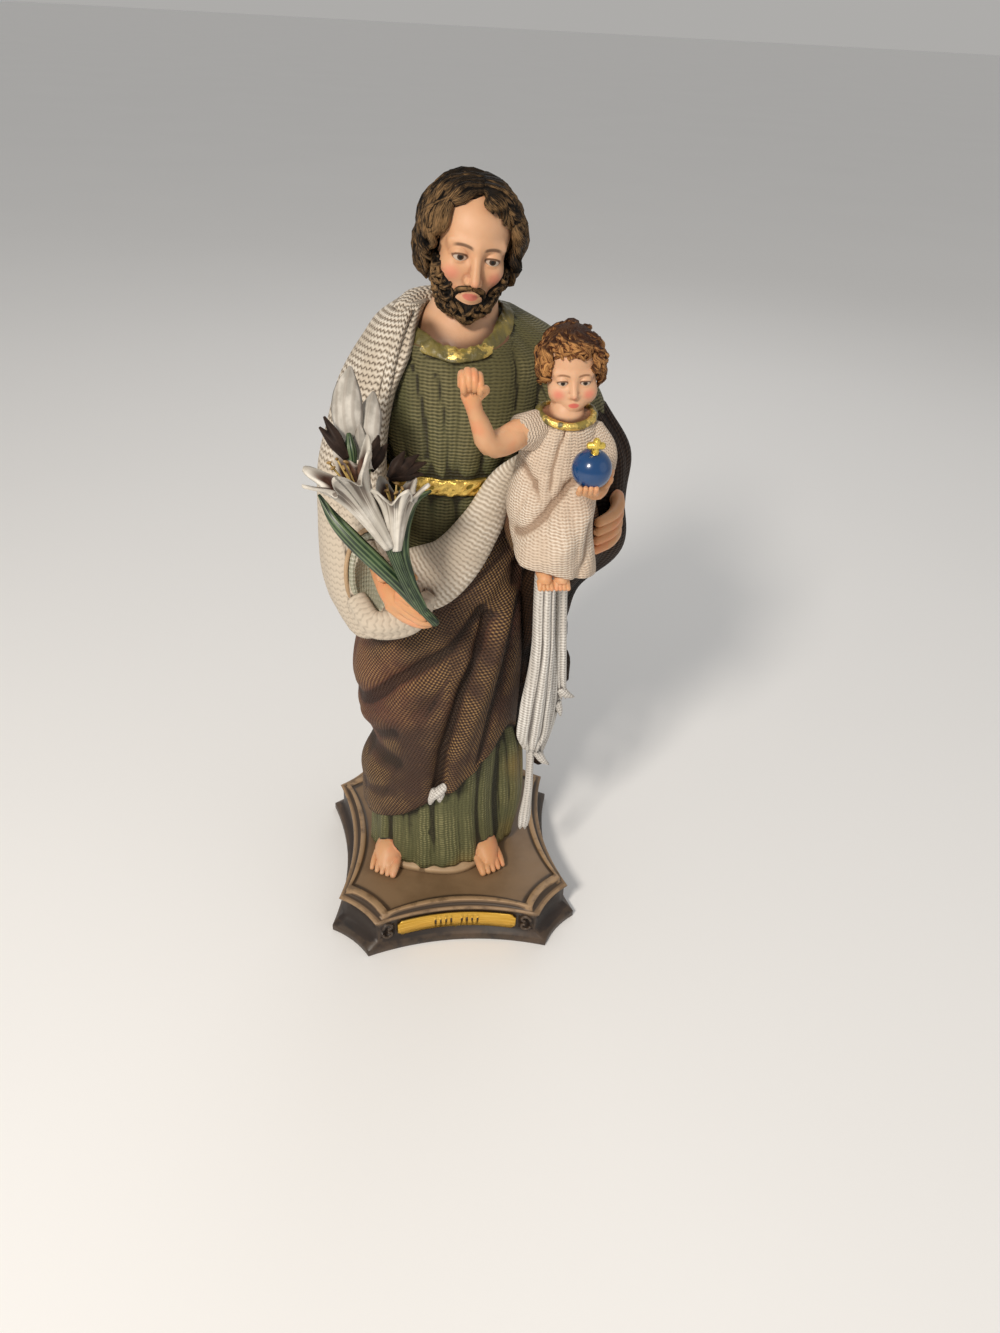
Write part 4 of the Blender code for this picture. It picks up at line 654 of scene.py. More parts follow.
def beard(place, seed):
    """Short curls over the jaw, with a moustache above the lip."""
    random = np.random.default_rng(seed)
    lines = []
    scale = np.linalg.norm(place[:3, 0])
    for row, rise in enumerate((-13, -19, -25, -31, -37, -43, -48, -53, -58, -64, -71, -79)):
        for turn in np.arange(-86.0, 87.0, 8.0 + 0.9 * row):
            at = turn + random.uniform(-3, 3)
            if bearded(at, rise) < 0.5:
                continue
            share = np.linspace(0.0, 1.0, 7)
            turns = at + 8.0 * np.sin(5.6 * share + random.uniform(0, 6.3))
            way = heading(turns, rise - 11.0 * share)
            out = jaw_reach(way) + np.interp(share, [0, 0.5, 1],
                                             [0.0, random.uniform(0.012, 0.028), 0.005])
            thick = np.interp(share, [0, 0.5, 1], [0.016, 0.025, 0.010]) * scale
            lines.append(np.column_stack([placed(place, way * out[:, None]), thick]))
    thick = np.array([0.011, 0.020, 0.020, 0.011]) * scale
    for side in (-1, 1):
        for i in range(6):
            points = [(0.010, -0.43 + 0.006 * i, -0.224 - 0.004 * i),
                      (0.055, -0.42 + 0.008 * i, -0.232 - 0.006 * i),
                      (0.105, -0.385 + 0.008 * i, -0.256 - 0.012 * i),
                      (0.140, -0.335, -0.310 - 0.018 * i)]
            points = np.array(points) * (side, 1, 1)
            lines.append(np.column_stack([placed(place, points), thick]))
    return lines


def around_head(rings, around, closer):
    """Directions over a whole head, closer together over the face."""
    share = np.linspace(0.0, 1.0, rings + 2)[1:-1]
    tilt = math.pi * share ** closer
    tilt, angle = np.meshgrid(tilt, turns(around), indexing="ij")
    return np.stack([np.sin(tilt) * np.cos(angle), -np.cos(tilt), np.sin(tilt) * np.sin(angle)], axis=-1)


# The figure

# Middle x and y of a neckline, its front reach, its height, how far its front drops, with what power
NECKLINE = (-2.0, -1.0, 19.2, 239.6, 10.0, 1.5)
CHILD_NECKLINE = (30.0, -47.2, 8.0, 218.6, 1.2, 1.0)
COLLAR_AROUND = 180

def bare_foot(name, heel, toe, width, finish):
    """A foot with five toes, from the heel to the tip of the great toe."""
    heel = np.array(heel, float)
    toe = np.array(toe, float)
    ahead = unit(toe - heel)
    side = np.array([ahead[1], -ahead[0], 0.0])
    lines = [[(*heel, 6.0), (*(heel * 0.5 + toe * 0.5 + (0, 0, 1.5)), 6.8), (*(toe - 5 * ahead), 4.0)]]
    inner = -1 if width > 0 else 1
    for i in range(5):
        shift = (i - 1.75) * abs(width) * 0.215
        tip = toe + inner * -side * shift - ahead * (0.15 * i * i)
        root = tip - ahead * 9.0 + (0, 0, 1.6)
        size = (1.75, 1.4, 1.35, 1.3, 1.2)[i]
        lines.append([(*root, size * 1.05), (*(tip - ahead * 2.2 + (0, 0, 0.8)), size),
                      (*tip, size * 0.75)])
    return tubes(name, lines, finish, sides=16, count=12)


def tunic():
    """The skirt, the thin ground under its hem, the chest and the belt."""
    parts = []
    skirt = [(-1, -5, -2, 31, 31, 26, 26), (10, -5, -2, 30.5, 30, 26, 26), (30, -6, -2, 28.5, 29, 26, 25),
             (60, -6, -2, 26, 29, 25, 24), (90, -5, -2, 26, 28, 25, 24)]
    parts.append(garment("skirt", skirt, lambda a: 2.0 + 1.5 * np.abs(np.cos(2.5 * a)), level(88),
                         tunic_fold, "skirt_green", 130, 52))
    ground = [(0.2, -5, -3, 30, 29, 27, 26), (2.2, -5, -3, 29, 28, 26, 25)]
    parts.append(garment("ground", ground, level(0.2), level(2.2), lambda a, x, z: 0.8 * np.cos(5 * a),
                         "ground_tan", rings=4))
    chest = [(145, -3, -2, 27, 29, 27, 24), (180, -3, -2, 25, 26, 27, 23), (186, -3, -2, 24, 25, 26, 22),
             (200, -2, -2, 28, 29, 27, 23), (216, -1, -1, 31, 33, 24, 22), (228, -1, 0, 29, 32, 20.5, 19),
             (233, -1.5, 0, 22.5, 24, 19, 15), (238, -2, -1, 17.5, 18, 17, 13),
             (241, -1, -1, 14, 14, 14, 12)]
    top = garment("chest", chest, level(145), chest_top, chest_fold, "tunic_green", 120, 60)
    parts.append(crowned(top, "skin_joseph", 120))
    belt = [(181, -3, -2, 26.0, 27, 27.9, 23), (185.5, -3, -2, 26.3, 27.2, 28.3, 23.2),
            (190, -3, -2, 26, 26.6, 28, 23)]
    parts.append(garment("belt", belt, level(183.0), level(188.2),
                         lambda a, x, z: 0.25 * np.cos(23 * a + z) + 0.3 * np.cos(41 * a - 2 * z),
                         "gold_leaf", 210, rings=8))
    return parts


def brown_wrap():
    wrap = [(24, -6, -2, 33, 32, 28, 27), (34, -6, -2, 33.5, 32, 29, 27), (47, -5, -2, 34.5, 31, 30, 27),
            (60, -4, -2, 32, 31, 31, 27), (84, -4, -2, 37, 32, 31, 27), (109, -4, -2, 36, 33, 31, 26),
            (131, -4, -2, 30, 33, 31, 25), (150, -3, -2, 27, 32, 30, 24), (176, -3, -2, 24, 29, 27, 22)]
    return garment("wrap", wrap, wrap_hem, wrap_top, wrap_fold, "wrap_brown", 156, 82)


def mantle():
    """The white mantle around the neck, arm and back, with its band."""
    parts = [right_mantle()]
    nape = [(-20, -3, 238.0, 4.4), (-15.5, 6, 239.8, 4.8), (-6, 11, 239.6, 4.8), (4, 12, 237.5, 4.0)]
    parts.append(tube("nape", nape, "mantle_white", 16, 20))
    band = [(-32, -26, 144, -10), (-16, -31.5, 150.5, -6), (-5, -33, 158.2, 0), (5.5, -32.4, 172.8, 4),
            (14.2, -30, 189.5, 10), (20.5, -34, 199.5, 10)]
    parts.append(ribbon("band", band, [(0, 8), (0.25, 13.2), (0.45, 10.0), (0.66, 7.4), (0.85, 5.4),
                                       (1, 2.4)],
                        [(0, 5.5), (0.4, 4.4), (0.85, 3.6), (1, 2.0)], 1.3, 0.2, "band_cream", 76))
    drape = [(-39, -36, 146, -24), (-33, -44, 140, -14), (-22, -44, 141, -6), (-12, -38, 148, 0)]
    parts.append(ribbon("drape", drape, [(0, 4), (0.4, 5.5), (0.8, 5.5), (1, 2.5)],
                        [(0, 4), (0.5, 4), (1, 3.5)],
                        1.6, 0.8, "mantle_white"))
    edge = [(-18.5, -9, 241, 1.3), (-22.5, -16, 233.5, 1.6), (-26, -21, 222, 1.7), (-29, -25, 208, 1.8),
            (-30.5, -29, 194, 1.8), (-31.5, -34, 178, 1.7), (-29, -37, 166, 1.5), (-24, -36, 160, 1.2)]
    parts.append(tube("mantle_edge", edge, "mantle_white", 12, 44))
    back = [(60, -4, 8, 26, 28, 6, 20), (90, -3, 8, 28, 28, 8, 21), (130, -2, 6, 30, 31, 8, 22),
            (170, 0, 4, 30, 33, 8, 22), (205, 1, 2, 31, 34, 6, 24), (225, 1, 2, 27, 29, 6, 22.5),
            (238, 1, 2, 17, 15, 5, 17)]
    parts.append(garment("back_mantle", back, lambda a: 66.0 + 16.0 * np.cos(a), level(238),
                         lambda a, x, z: 1.7 * pleat(5.0 * a + z / 55.0), "mantle_white", 88, 44))
    return parts


def left_side():
    """The dark cloak and the shoulder behind the Child, and the side pleats."""
    parts = []
    cloak = [(60, 26, 0, 6, 6, 6, 8), (88, 27, 0, 8, 9, 8, 10), (104, 28, -1, 9, 12, 10, 12),
             (115, 30, -2, 12, 14, 13, 14), (135, 32, -3, 13, 19, 16, 16), (150, 36, -6, 15, 26, 20, 18),
             (164, 38, -7, 17, 27, 26, 20), (178, 38, -5, 17, 26.5, 26, 20),
             (192, 37, -2, 17, 26, 22, 20),
             (205, 34, 1, 16, 22, 19, 19), (220, 27, 3, 14, 19, 16, 17)]
    parts.append(garment("left_cloak", cloak, level(60), level(207), cloak_fold, "cloak_brown", 88, 66))
    shoulder = [(196, 33, -2, 16, 20, 18, 18), (205, 33, 0, 16, 21, 18, 18),
                (220, 27, 2.5, 14, 18.5, 16, 16.5),
                (232, 19, 3, 12, 15, 13, 14), (240, 11, 3, 8, 8, 7, 9)]
    parts.append(garment("shoulder", shoulder, level(196), level(240), chest_fold, "tunic_green", 76, 28))
    parts.append(ellipsoid("seat", (31, -32, 174), (17, 17, 18), (20, 0, 0), "wrap_brown", 18))
    side_pleats = [(4, 21, -3, 8, 9, 10, 12), (25, 22, -3, 9, 11, 10, 12), (40, 21, -3, 9, 11.6, 10, 12),
                   (56, 20, -3, 8, 11, 10, 12), (74, 18, -3, 8, 8, 9, 12)]
    parts.append(garment("side_pleats", side_pleats, lambda a: 5.0 + 2.0 * np.cos(3 * a), level(74),
                         lambda a, x, z: 0.9 * pleat(4.5 * a + z / 60.0), "skirt_green", 76, 28))
    return parts


def white_slip():
    """The white rag that shows under the hem of the wrap."""
    slip = [[(-4.0, -31.4, 53.6, 1.5), (-7.5, -31.8, 50.0, 2.2), (-10.6, -31.4, 46.5, 1.7)],
            [(-9.2, -31.4, 50.4, 1.7), (-10.6, -31.8, 46.0, 1.5), (-11.0, -31.6, 43.6, 0.8)],
            [(-6.0, -31.5, 50.0, 1.6), (-7.0, -31.8, 46.2, 1.3), (-7.0, -31.6, 44.6, 0.7)]]
    return tubes("white_slip", slip, "fall_white", sides=14, count=14)


def right_mantle():
    """The mantle over the right arm, opened where the sleeve comes out."""
    rows = [(127, -33, -17, 5, 7, 16, 10), (130, -33, -16, 11, 12, 22, 15),
            (134, -33, -14, 14.5, 15, 25, 19),
            (141, -34, -12, 16.5, 16, 28, 21), (156, -35, -9, 17.5, 14, 31, 22),
            (172, -35, -7, 17.5, 11, 28, 22),
            (188, -33, -4, 18, 7, 26, 21), (200, -30, -3, 17.5, 4.5, 24, 20),
            (216, -26, -1, 16.5, 4, 22, 18),
            (230, -19.5, 0, 14.5, 3.4, 18, 16), (237, -17.5, 1, 11, 3.0, 13, 14),
            (242, -15, 2, 6, 3, 7, 9)]
    body = garment("right_mantle", rows, level(127), level(242), arm_fold, "mantle_white", 110, 76)
    opening = ellipsoid("opening", (-33, -48, 156), (8.5, 15, 17.5), (0, 4, 0), "sleeve_green", 28)
    return without(body, opening)


def jagged(points, depth):
    """A hem that zigzags across the last part of a ribbon."""
    def shift(across, share):
        wave = np.abs((across * points * 0.5 + 0.25) % 1.0 - 0.5) * 2.0
        return depth * share ** 8 * (wave - 0.5)
    return shift


def cascade():
    """The white cloth that falls in pleats below the Child's feet."""
    first = ribbon("fall_front", [(29.5, -36, 168, 6), (30, -36.5, 145, 6), (31, -36, 125, 6),
                                  (30.3, -35, 95, 8),
                                  (30, -33, 72, 8)],
                   [(0, 4), (0.3, 4.2), (0.55, 4.8), (0.8, 6.6), (0.93, 6.2), (1, 3)],
                   [(0, 4), (0.8, 3.2), (1, 1.6)], 2.6, 1.3, "fall_white", ends=jagged(3, 3.0))
    side = ribbon("fall_side", [(36, -31, 165, 20), (37, -31, 142, 20), (38.5, -31, 122, 22),
                                (40.5, -30, 104, 24),
                                (42, -29.5, 96, 24)],
                  [(0, 2.6), (0.6, 2.6), (0.9, 2.4), (1, 1.6)], [(0, 3.4), (0.8, 2.8), (1, 1.6)],
                  1.6, 0.7, "fall_white", ends=jagged(2, 3.0))
    under = ribbon("fall_under", [(33, -29, 140, 14), (36, -29, 110, 18), (36.5, -28, 88, 20),
                                  (35, -27, 66, 20)],
                   [(0, 5), (0.5, 5.4), (0.8, 4.2), (1, 2)], [(0, 4), (0.8, 3), (1, 1.4)],
                   2.4, 1.0, "fall_white", ends=jagged(2, 4.0))
    tail = ribbon("fall_tail", [(31, -26, 80, 10), (31.5, -26, 62, 10), (31.6, -27, 45, 10),
                                (30.4, -28, 25, 10)],
                  [(0, 3), (0.35, 1.6), (0.7, 2.0), (0.95, 2.6), (1, 2.2)], [(0, 3), (0.4, 2), (1, 1.4)],
                  1.6, 0.4, "fall_white", ends=jagged(2, 2.0))
    spikes = [[(40.5, -30, 100, 2.4), (43.5, -30.5, 97.2, 1.6), (46.4, -30.5, 95.8, 0.5)],
              [(34, -27, 66, 2.2), (37, -28, 61.5, 1.4), (39.2, -28, 59.6, 0.5)],
              [(40, -29, 92, 2.2), (41.5, -29.5, 88.6, 1.2), (42, -29.5, 86, 0.5)]]
    dark = [[(34, -6, 123, 4.0), (42, -7.5, 119, 3.6), (43.8, -8, 112, 2.8)],
            [(32, -6, 107, 4.0), (44.5, -8, 102, 3.4), (46.4, -8.5, 90, 2.6)],
            [(30, -6, 92, 4.0), (40.5, -8, 80, 3.0), (39, -8, 68, 2.6)],
            [(27, -5, 62, 4.0), (36.5, -8, 55, 3.2), (39.0, -8.5, 46, 2.4)]]
    return ([first, side, under, tail] + tubes("spike", spikes, "fall_white", sides=10, count=12)
            + tubes("torn_edge", dark, "cloak_brown", sides=12, count=12))


def robes():
    return tunic() + [brown_wrap()] + mantle() + left_side() + white_slip() + cascade()


def collar():
    """A broad flat band of crumpled gilt cloth around the neckline."""
    turn = turns(COLLAR_AROUND)
    front = np.maximum(0.0, -np.sin(turn))
    left = np.maximum(0.0, -np.cos(turn))
    middle = np.stack([NECKLINE[0] + 18.3 * np.cos(turn),
                       NECKLINE[1] + (13.6 + 5.6 * front) * np.sin(turn),
                       NECKLINE[3] - 10.0 * front ** 1.5 - 3.0 * left ** 2], axis=-1)
    outward = np.stack([np.cos(turn), np.sin(turn), 0.0 * turn], axis=-1)
    slope = 0.75 * outward - np.array([0.0, 0.0, 0.66])
    face = 0.66 * outward + np.array([0.0, 0.0, 0.75])
    sides = 18
    angle = turns(sides)
    rings = []
    for i in range(COLLAR_AROUND):
        crumple = 0.22 * np.cos(17 * turn[i] + 2 * angle) + 0.16 * np.cos(41 * turn[i] - 3 * angle)
        across = (3.2 + 0.25 * math.cos(11 * turn[i])) * np.cos(angle)
        high = (0.95 + crumple) * np.sin(angle)
        rings.append(middle[i] + across[:, None] * slope[i] + high[:, None] * face[i])
    faces = grid_faces(COLLAR_AROUND, sides)
    last = (COLLAR_AROUND - 1) * sides
    faces += [(last + j, last + (j + 1) % sides, (j + 1) % sides, j) for j in range(sides)]
    points = np.array(rings).reshape(-1, 3)
    return shell("collar", points, faces, points[:, :2], "collar_gold")


def joseph_head():
    """The collar, the neck, the head, and its hair and beard."""
    parts = [collar()]
    neck = [(220, -2, -3, 15, 15, 15.5, 12), (229, -1.5, -3, 16, 15.5, 17, 12),
            (234, -1, -2.5, 15.2, 14.8, 15.6, 12),
            (238, -0.4, -2.5, 13.6, 13.2, 12.8, 11.5), (243, 0.8, -3, 11.4, 11.2, 10.6, 10.6),
            (249, 1.5, -3.6, 10.2, 10.2, 9.8, 10), (257, 2, -5, 10, 10, 10, 10)]
    parts.append(garment("neck", neck, level(220), level(257), lambda a, x, z: 0.0 * z, "skin_joseph",
                         56, 26))
    place = head_place(*JOSEPH_HEAD)
    parts.append(head("joseph_head", place, 0.0, "skin_joseph"))
    cap = placed(place, [(0.0, 0.10, 0.10)])[0]
    parts.append(ellipsoid("hair_mass", tuple(cap), (14.6, 15.6, 15.8), (12, 9, 12), "hair_joseph", 18))
    parts += tubes("joseph_hair", joseph_hair(place, 11), "hair_joseph", sides=8, count=15, ribs=3,
                   rib_size=0.12)
    jaw = around_head(80, 90, 1.35)
    parts.append(capped("beard_pad", placed(place, jaw * jaw_reach(jaw)[..., None]), "hair_joseph"))
    parts += tubes("beard", beard(place, 5), "hair_joseph", sides=7, count=8)
    return parts


def joseph_limbs():
    """Bare feet, the cuff of the right sleeve and both hands."""
    parts = []
    parts += bare_foot("right_foot", (-25, -8, 4.5), (-31.5, -30, 1.9), 12, "skin")
    parts += bare_foot("left_foot", (12, -8, 4.5), (17.5, -32, 1.9), -12, "skin")
    for name, wide, tall, inset, thick, finish in (("cuff", 6.6, 15.0, 1.6, 1.3, "sleeve_green"),
                                                   ("hem_line", 8.8, 17.6, 0.2, 0.8, "ground_tan")):
        rim = []
        for t in np.linspace(0, 2 * math.pi, 29):
            x = -33.4 + wide * math.cos(t)
            z = 156.0 + tall * math.sin(t)
            depth = 31.0 - 0.012 * (z - 156.0) ** 2
            rim.append((x, -9.0 - depth * math.sqrt(1 - ((x + 35.0) / 17.5) ** 2) + inset, z, thick))
        parts.append(tube(name, rim, finish, 10, 64))
    lines = [
        [(-31, -32, 157.5, 3.2), (-29, -42, 156.6, 3.5), (-27, -47.5, 155.2, 4.0),
         (-24.3, -51, 153.2, 4.4),
         (-22, -53, 151.8, 3.8)],
        [(-27, -51, 152, 2.6), (-21.5, -54.5, 148.6, 2.2), (-16, -56.5, 147, 1.7),
         (-13.5, -56.8, 147, 1.2)],
        [(-25, -53, 154, 2.5), (-19.5, -56.5, 150.6, 2.1), (-15.5, -58, 148.6, 1.6),
         (-13.6, -58.4, 148.4, 1.1)],
        [(-24, -54, 156, 2.4), (-19, -57.5, 153, 2.1), (-15.6, -59, 150.8, 1.5)],
        [(-24, -54, 158, 2.3), (-19.5, -58, 156.6, 2.0), (-16.6, -59.5, 154.6, 1.4)],
        [(-30, -48, 161.5, 2.4), (-25, -52, 164.5, 2.2), (-20.5, -56, 165.5, 1.7),
         (-19, -57.5, 165.5, 1.3)]]
    parts += tubes("right_hand", lines, "skin", sides=18, count=16)
    for i in range(4):
        z = 179.0 - 3.5 * i
        finger = [(56.5, -22, z, 2.9), (55.0, -31, z, 2.5), (51.0, -38, z - 0.3, 2.1),
                  (45.5, -42.5, z - 0.8, 1.7)]
        parts.append(tube("left_hand", finger, "skin", 16, 18))
    return parts


def child_hands():
    """Bare arms, hands and toes of the Child, and the bent knee."""
    lines = [[(20, -48, 214, 4.8), (15, -52, 214.4, 4.7), (9, -55.5, 212.6, 4.5), (5, -58, 212.4, 4.2)],
             [(14, -54, 214, 3.8), (8, -57, 212.8, 3.9), (3.6, -60, 213.6, 3.7), (0.8, -62, 220, 3.1),
              (-1.8, -63.2, 226.5, 2.5), (-2.6, -63.4, 230.0, 3.3), (-3.0, -63.4, 233.0, 2.9)],
             [(42.5, -57, 203.5, 3.0), (40.5, -62.5, 201.2, 2.5), (37.5, -66.5, 200.8, 3.2),
              (34.5, -68.5, 201.8, 2.4)],
             [(-0.4, -64.0, 229.8, 1.5), (1.3, -66.2, 232.6, 1.3), (-0.4, -68.2, 233.6, 1.0)],
             [(40.0, -66.5, 202.2, 1.3), (41.2, -68.6, 205.2, 1.1), (40.6, -70.0, 207.0, 0.85)],
             [(17.5, -60, 176, 2.4), (19.6, -62.5, 172.5, 2.2)]]
    for i, rise in enumerate((0.4, 1.3, 1.1, 0.0)):
        x = -5.4 + 1.65 * i
        top = 236.0 + rise
        lines.append([(x, -62.8, 232.6, 1.4), (x - 0.2, -63.8, top, 1.3),
                      (x - 0.1, -66.6, top - 0.4, 1.2),
                      (x, -67.8, top - 2.8, 1.1), (x + 0.1, -66.8, top - 4.6, 0.9)])
        x = 38.0 - 1.7 * i
        lines.append([(x, -68.0, 201.6, 1.2), (x - 1.9, -72.2, 202.4, 1.1),
                      (x - 2.2, -74.4, 204.8, 0.85)])
    for x in (23.4, 28.9):
        lines.append([(x, -58, 172.0, 3.0), (x, -65, 171.0, 2.8), (x, -68.5, 169.4, 2.2)])
        for i in range(4):
            at = x - 1.95 + 1.3 * i
            lines.append([(at, -67.5, 169.2, 0.9), (at, -70.6, 167.6, 0.8)])
    return lines


def child_body():
    """The Child's robe, arms, head and neck, with the orb and its cross."""
    rows = [(163, 30, -52, 11, 13, 14, 16), (168, 30, -52, 14, 13.5, 16.5, 19),
            (175, 29, -52, 14.6, 13.5, 18.5, 21),
            (182, 28.5, -50.5, 15.6, 13, 19, 21), (190, 28, -48.5, 15.6, 13, 16, 20),
            (200, 29, -47, 14.5, 13, 11, 18),
            (210, 30, -47, 13, 12.5, 9.5, 13), (216, 30, -47, 10.5, 10.5, 8.5, 8.5),
            (219.5, 30, -47, 8, 8, 7, 7)]
    robe = garment("child_robe", rows, lambda a: 170.3 - 3.6 * np.cos(a) + 1.2 * np.abs(np.sin(2.5 * a)),
                   lambda a: 220.0 - 2.0 * np.clip(-np.sin(a), 0, 1), child_fold, "child_cream", 120, 60)
    parts = [crowned(robe, "skin_child", 120)]
    sleeves = [[(22, -47, 213, 6.6), (17.5, -50, 214.2, 6.2), (15, -52, 214.4, 5.6)],
               [(38, -47, 212, 6.0), (41.5, -52, 207.5, 5.3), (41, -57.0, 204, 4.4)]]
    parts += tubes("child_sleeves", sleeves, "child_cream", sides=22, count=14, ribs=5, rib_size=0.05)
    parts += tubes("child_skin", child_hands(), "skin", sides=12, count=12)
    place = head_place(*CHILD_HEAD)
    parts.append(head("child_head", place, 1.0, "skin_child", 78, 78))
    cap = placed(place, [(0.0, 0.09, 0.12)])[0]
    parts.append(ellipsoid("child_hair_mass", tuple(cap), (9.6, 10.8, 10.4), (8, -3, -4), "hair_child",
                           16))
    parts += tubes("child_hair", child_hair(place, 3), "hair_child", sides=7, count=10)
    neck = [(212, 30, -47, 8, 8, 8.4, 7), (216, 30, -47, 7.6, 7.6, 7.6, 6.6),
            (218.5, 30, -46.6, 6.6, 6.6, 6.4, 6.2),
            (220.5, 30.2, -46, 5.6, 5.6, 5.2, 5.4), (224, 30.6, -45, 5.2, 5.2, 5.0, 5.2)]
    parts.append(garment("child_neck", neck, level(212), level(224), lambda a, x, z: 0.0 * z,
                         "skin_child", 44, 18))
    ring = []
    for t in np.linspace(0, 2 * math.pi, 25):
        height = 218.6 + 1.2 * math.sin(t) + 0.8 * math.cos(t) ** 2
        ring.append((30 + 8.9 * math.cos(t), -47.2 + 8.0 * math.sin(t), height, 1.25))
    parts.append(tube("child_collar", ring, "collar_gold", 14, 84, 5, 0.10))
    parts.append(ellipsoid("orb", (34.8, -69.5, 209.2), (6.3, 6.3, 6.3), (0, 0, 0), "orb_blue", 26))
    cross = [[(34.8, -71.2, 214.0, 1.15), (34.8, -72.6, 219.4, 1.15)],
             [(32.6, -72.1, 217.6, 1.15), (37.0, -72.1, 217.6, 1.15)]]
    parts += tubes("cross", cross, "cross_gold", sides=12, count=6)
    return parts


# The lily spray

def petal(name, path, half_width, cup, finish, thickness=1.35, count=22, across=13):
    """A leaf or petal along path rows (x, y, z), bowed across by cup."""
    rows = course(path, count)
    share = np.linspace(0.0, 1.0, count)
    wide = blend(half_width, share)[:, 0]
    ahead = unit(np.gradient(rows[:, :3], axis=0))
    v = np.linspace(-1.0, 1.0, across)
    there = np.concatenate([v, v[::-1][1:-1]])
    face = np.concatenate([np.ones(across), -np.ones(across - 2)])
    rings = []
    marks = []
    for i in range(count):
        side = unit(np.cross(ahead[i], (-0.25, -1.0, 0.25)))
        out = np.cross(side, ahead[i])
        dent = cup * wide[i] * (there ** 2 - 0.6) - 0.25 * np.exp(-(there / 0.2) ** 2)
        dent = dent + 0.06 * np.cos(there * 11.0)
        full = 0.5 + 0.5 * math.sin(math.pi * share[i]) ** 0.5
        skin = face * thickness / 2 * np.sqrt(np.maximum(1.0 - there ** 2, 0.0)) * full
        rings.append(rows[i, :3] + side * (there * wide[i])[:, None] + out * (skin - dent)[:, None])
        marks.append(np.stack([there * wide[i], np.full_like(there, share[i] * 30.0)], axis=-1))
    return capped(name, rings, finish, np.array(marks))


def trumpet(name, neck, mouth, flare, spin, count=30, around=96, wall=0.55):
    """An open lily with six pointed lobes and a throat darkened by brown wash and painted shade."""
    neck = Vector(neck)
    axis = Vector(mouth) - neck
    length = axis.length
    turn = np.array(axis.to_track_quat("Z", "Y").to_matrix())
    angle = turns(around)
    lobe = 0.5 + 0.5 * np.cos(6 * angle + spin)
    outer = []
    inner = []
    for i in range(count):
        share = i / (count - 1)
        ruffle = 0.25 * np.cos(18 * angle + 5 * share) * share ** 4 + 0.06 * np.cos(42 * angle) * share
        keel = 0.35 * (lobe ** 6 - 0.3) * share * (1 - share) * 3
        reach = 1.5 + 3.9 * share + flare * share ** 4 * (0.35 + 0.65 * lobe ** 1.5) + ruffle + keel
        rise = length * share * (1.0 - 0.24 * share ** 6 * (1.0 - lobe))
        outer.append(np.stack([np.cos(angle) * (reach + wall), np.sin(angle) * (reach + wall), rise],
                              axis=-1))
        back = np.maximum(reach - wall * (1 - share ** 6), 0.3)
        lift = wall * 1.2 * share ** 5
        if share > 0.12:
            inner.append(np.stack([np.cos(angle) * back, np.sin(angle) * back, rise + lift], axis=-1))
    place = np.array(outer + inner[::-1]) @ turn.T + np.array(neck)
    along = np.concatenate([np.linspace(0.0, 20.0, count), np.linspace(20.5, 40.0, len(inner))])
    made = capped(name, place, "petal_white", np.stack(np.meshgrid(angle * 4.0, along), axis=-1))
    rank = np.arange(len(made.data.polygons)) // around
    index = read(made.data.polygons, "material_index", kind=int)
    # The inside faces take the throat paint, with its wash and painted shade.
    index[rank >= count] = FINISHES.index("throat_wash_and_shade")
    made.data.polygons.foreach_set("material_index", index)
    return made


def shaded_blooms():
    """Narrow petals of the blooms that lie in shadow behind the open ones, painted near-black as painted
    shadow.
    """
    half_width = [(0, 1.2), (0.5, 1.9), (1, 0.4)]
    starts = ((-40, -58, 208), (-33, -55.5, 203), (-27, -55.5, 200.5))
    tips = (((-48, -54, 216.5), (-46.5, -53, 219.5), (-44, -52, 213)),
            ((-30, -50, 213), (-27.5, -51, 210)),
            ((-15, -50, 203.5), (-17.5, -51, 206.5), (-22, -52, 208), (-16, -50, 199.5)))
    shells = []
    for start, ends in zip(starts, tips):
        for end in ends:
            middle = 0.5 * (np.array(start) + np.array(end)) + (0, -1.0, 0.6)
            shells.append(petal("shaded_bloom", [start, tuple(middle), end], half_width, 0.3,
                                "bloom_shade"))
    return shells


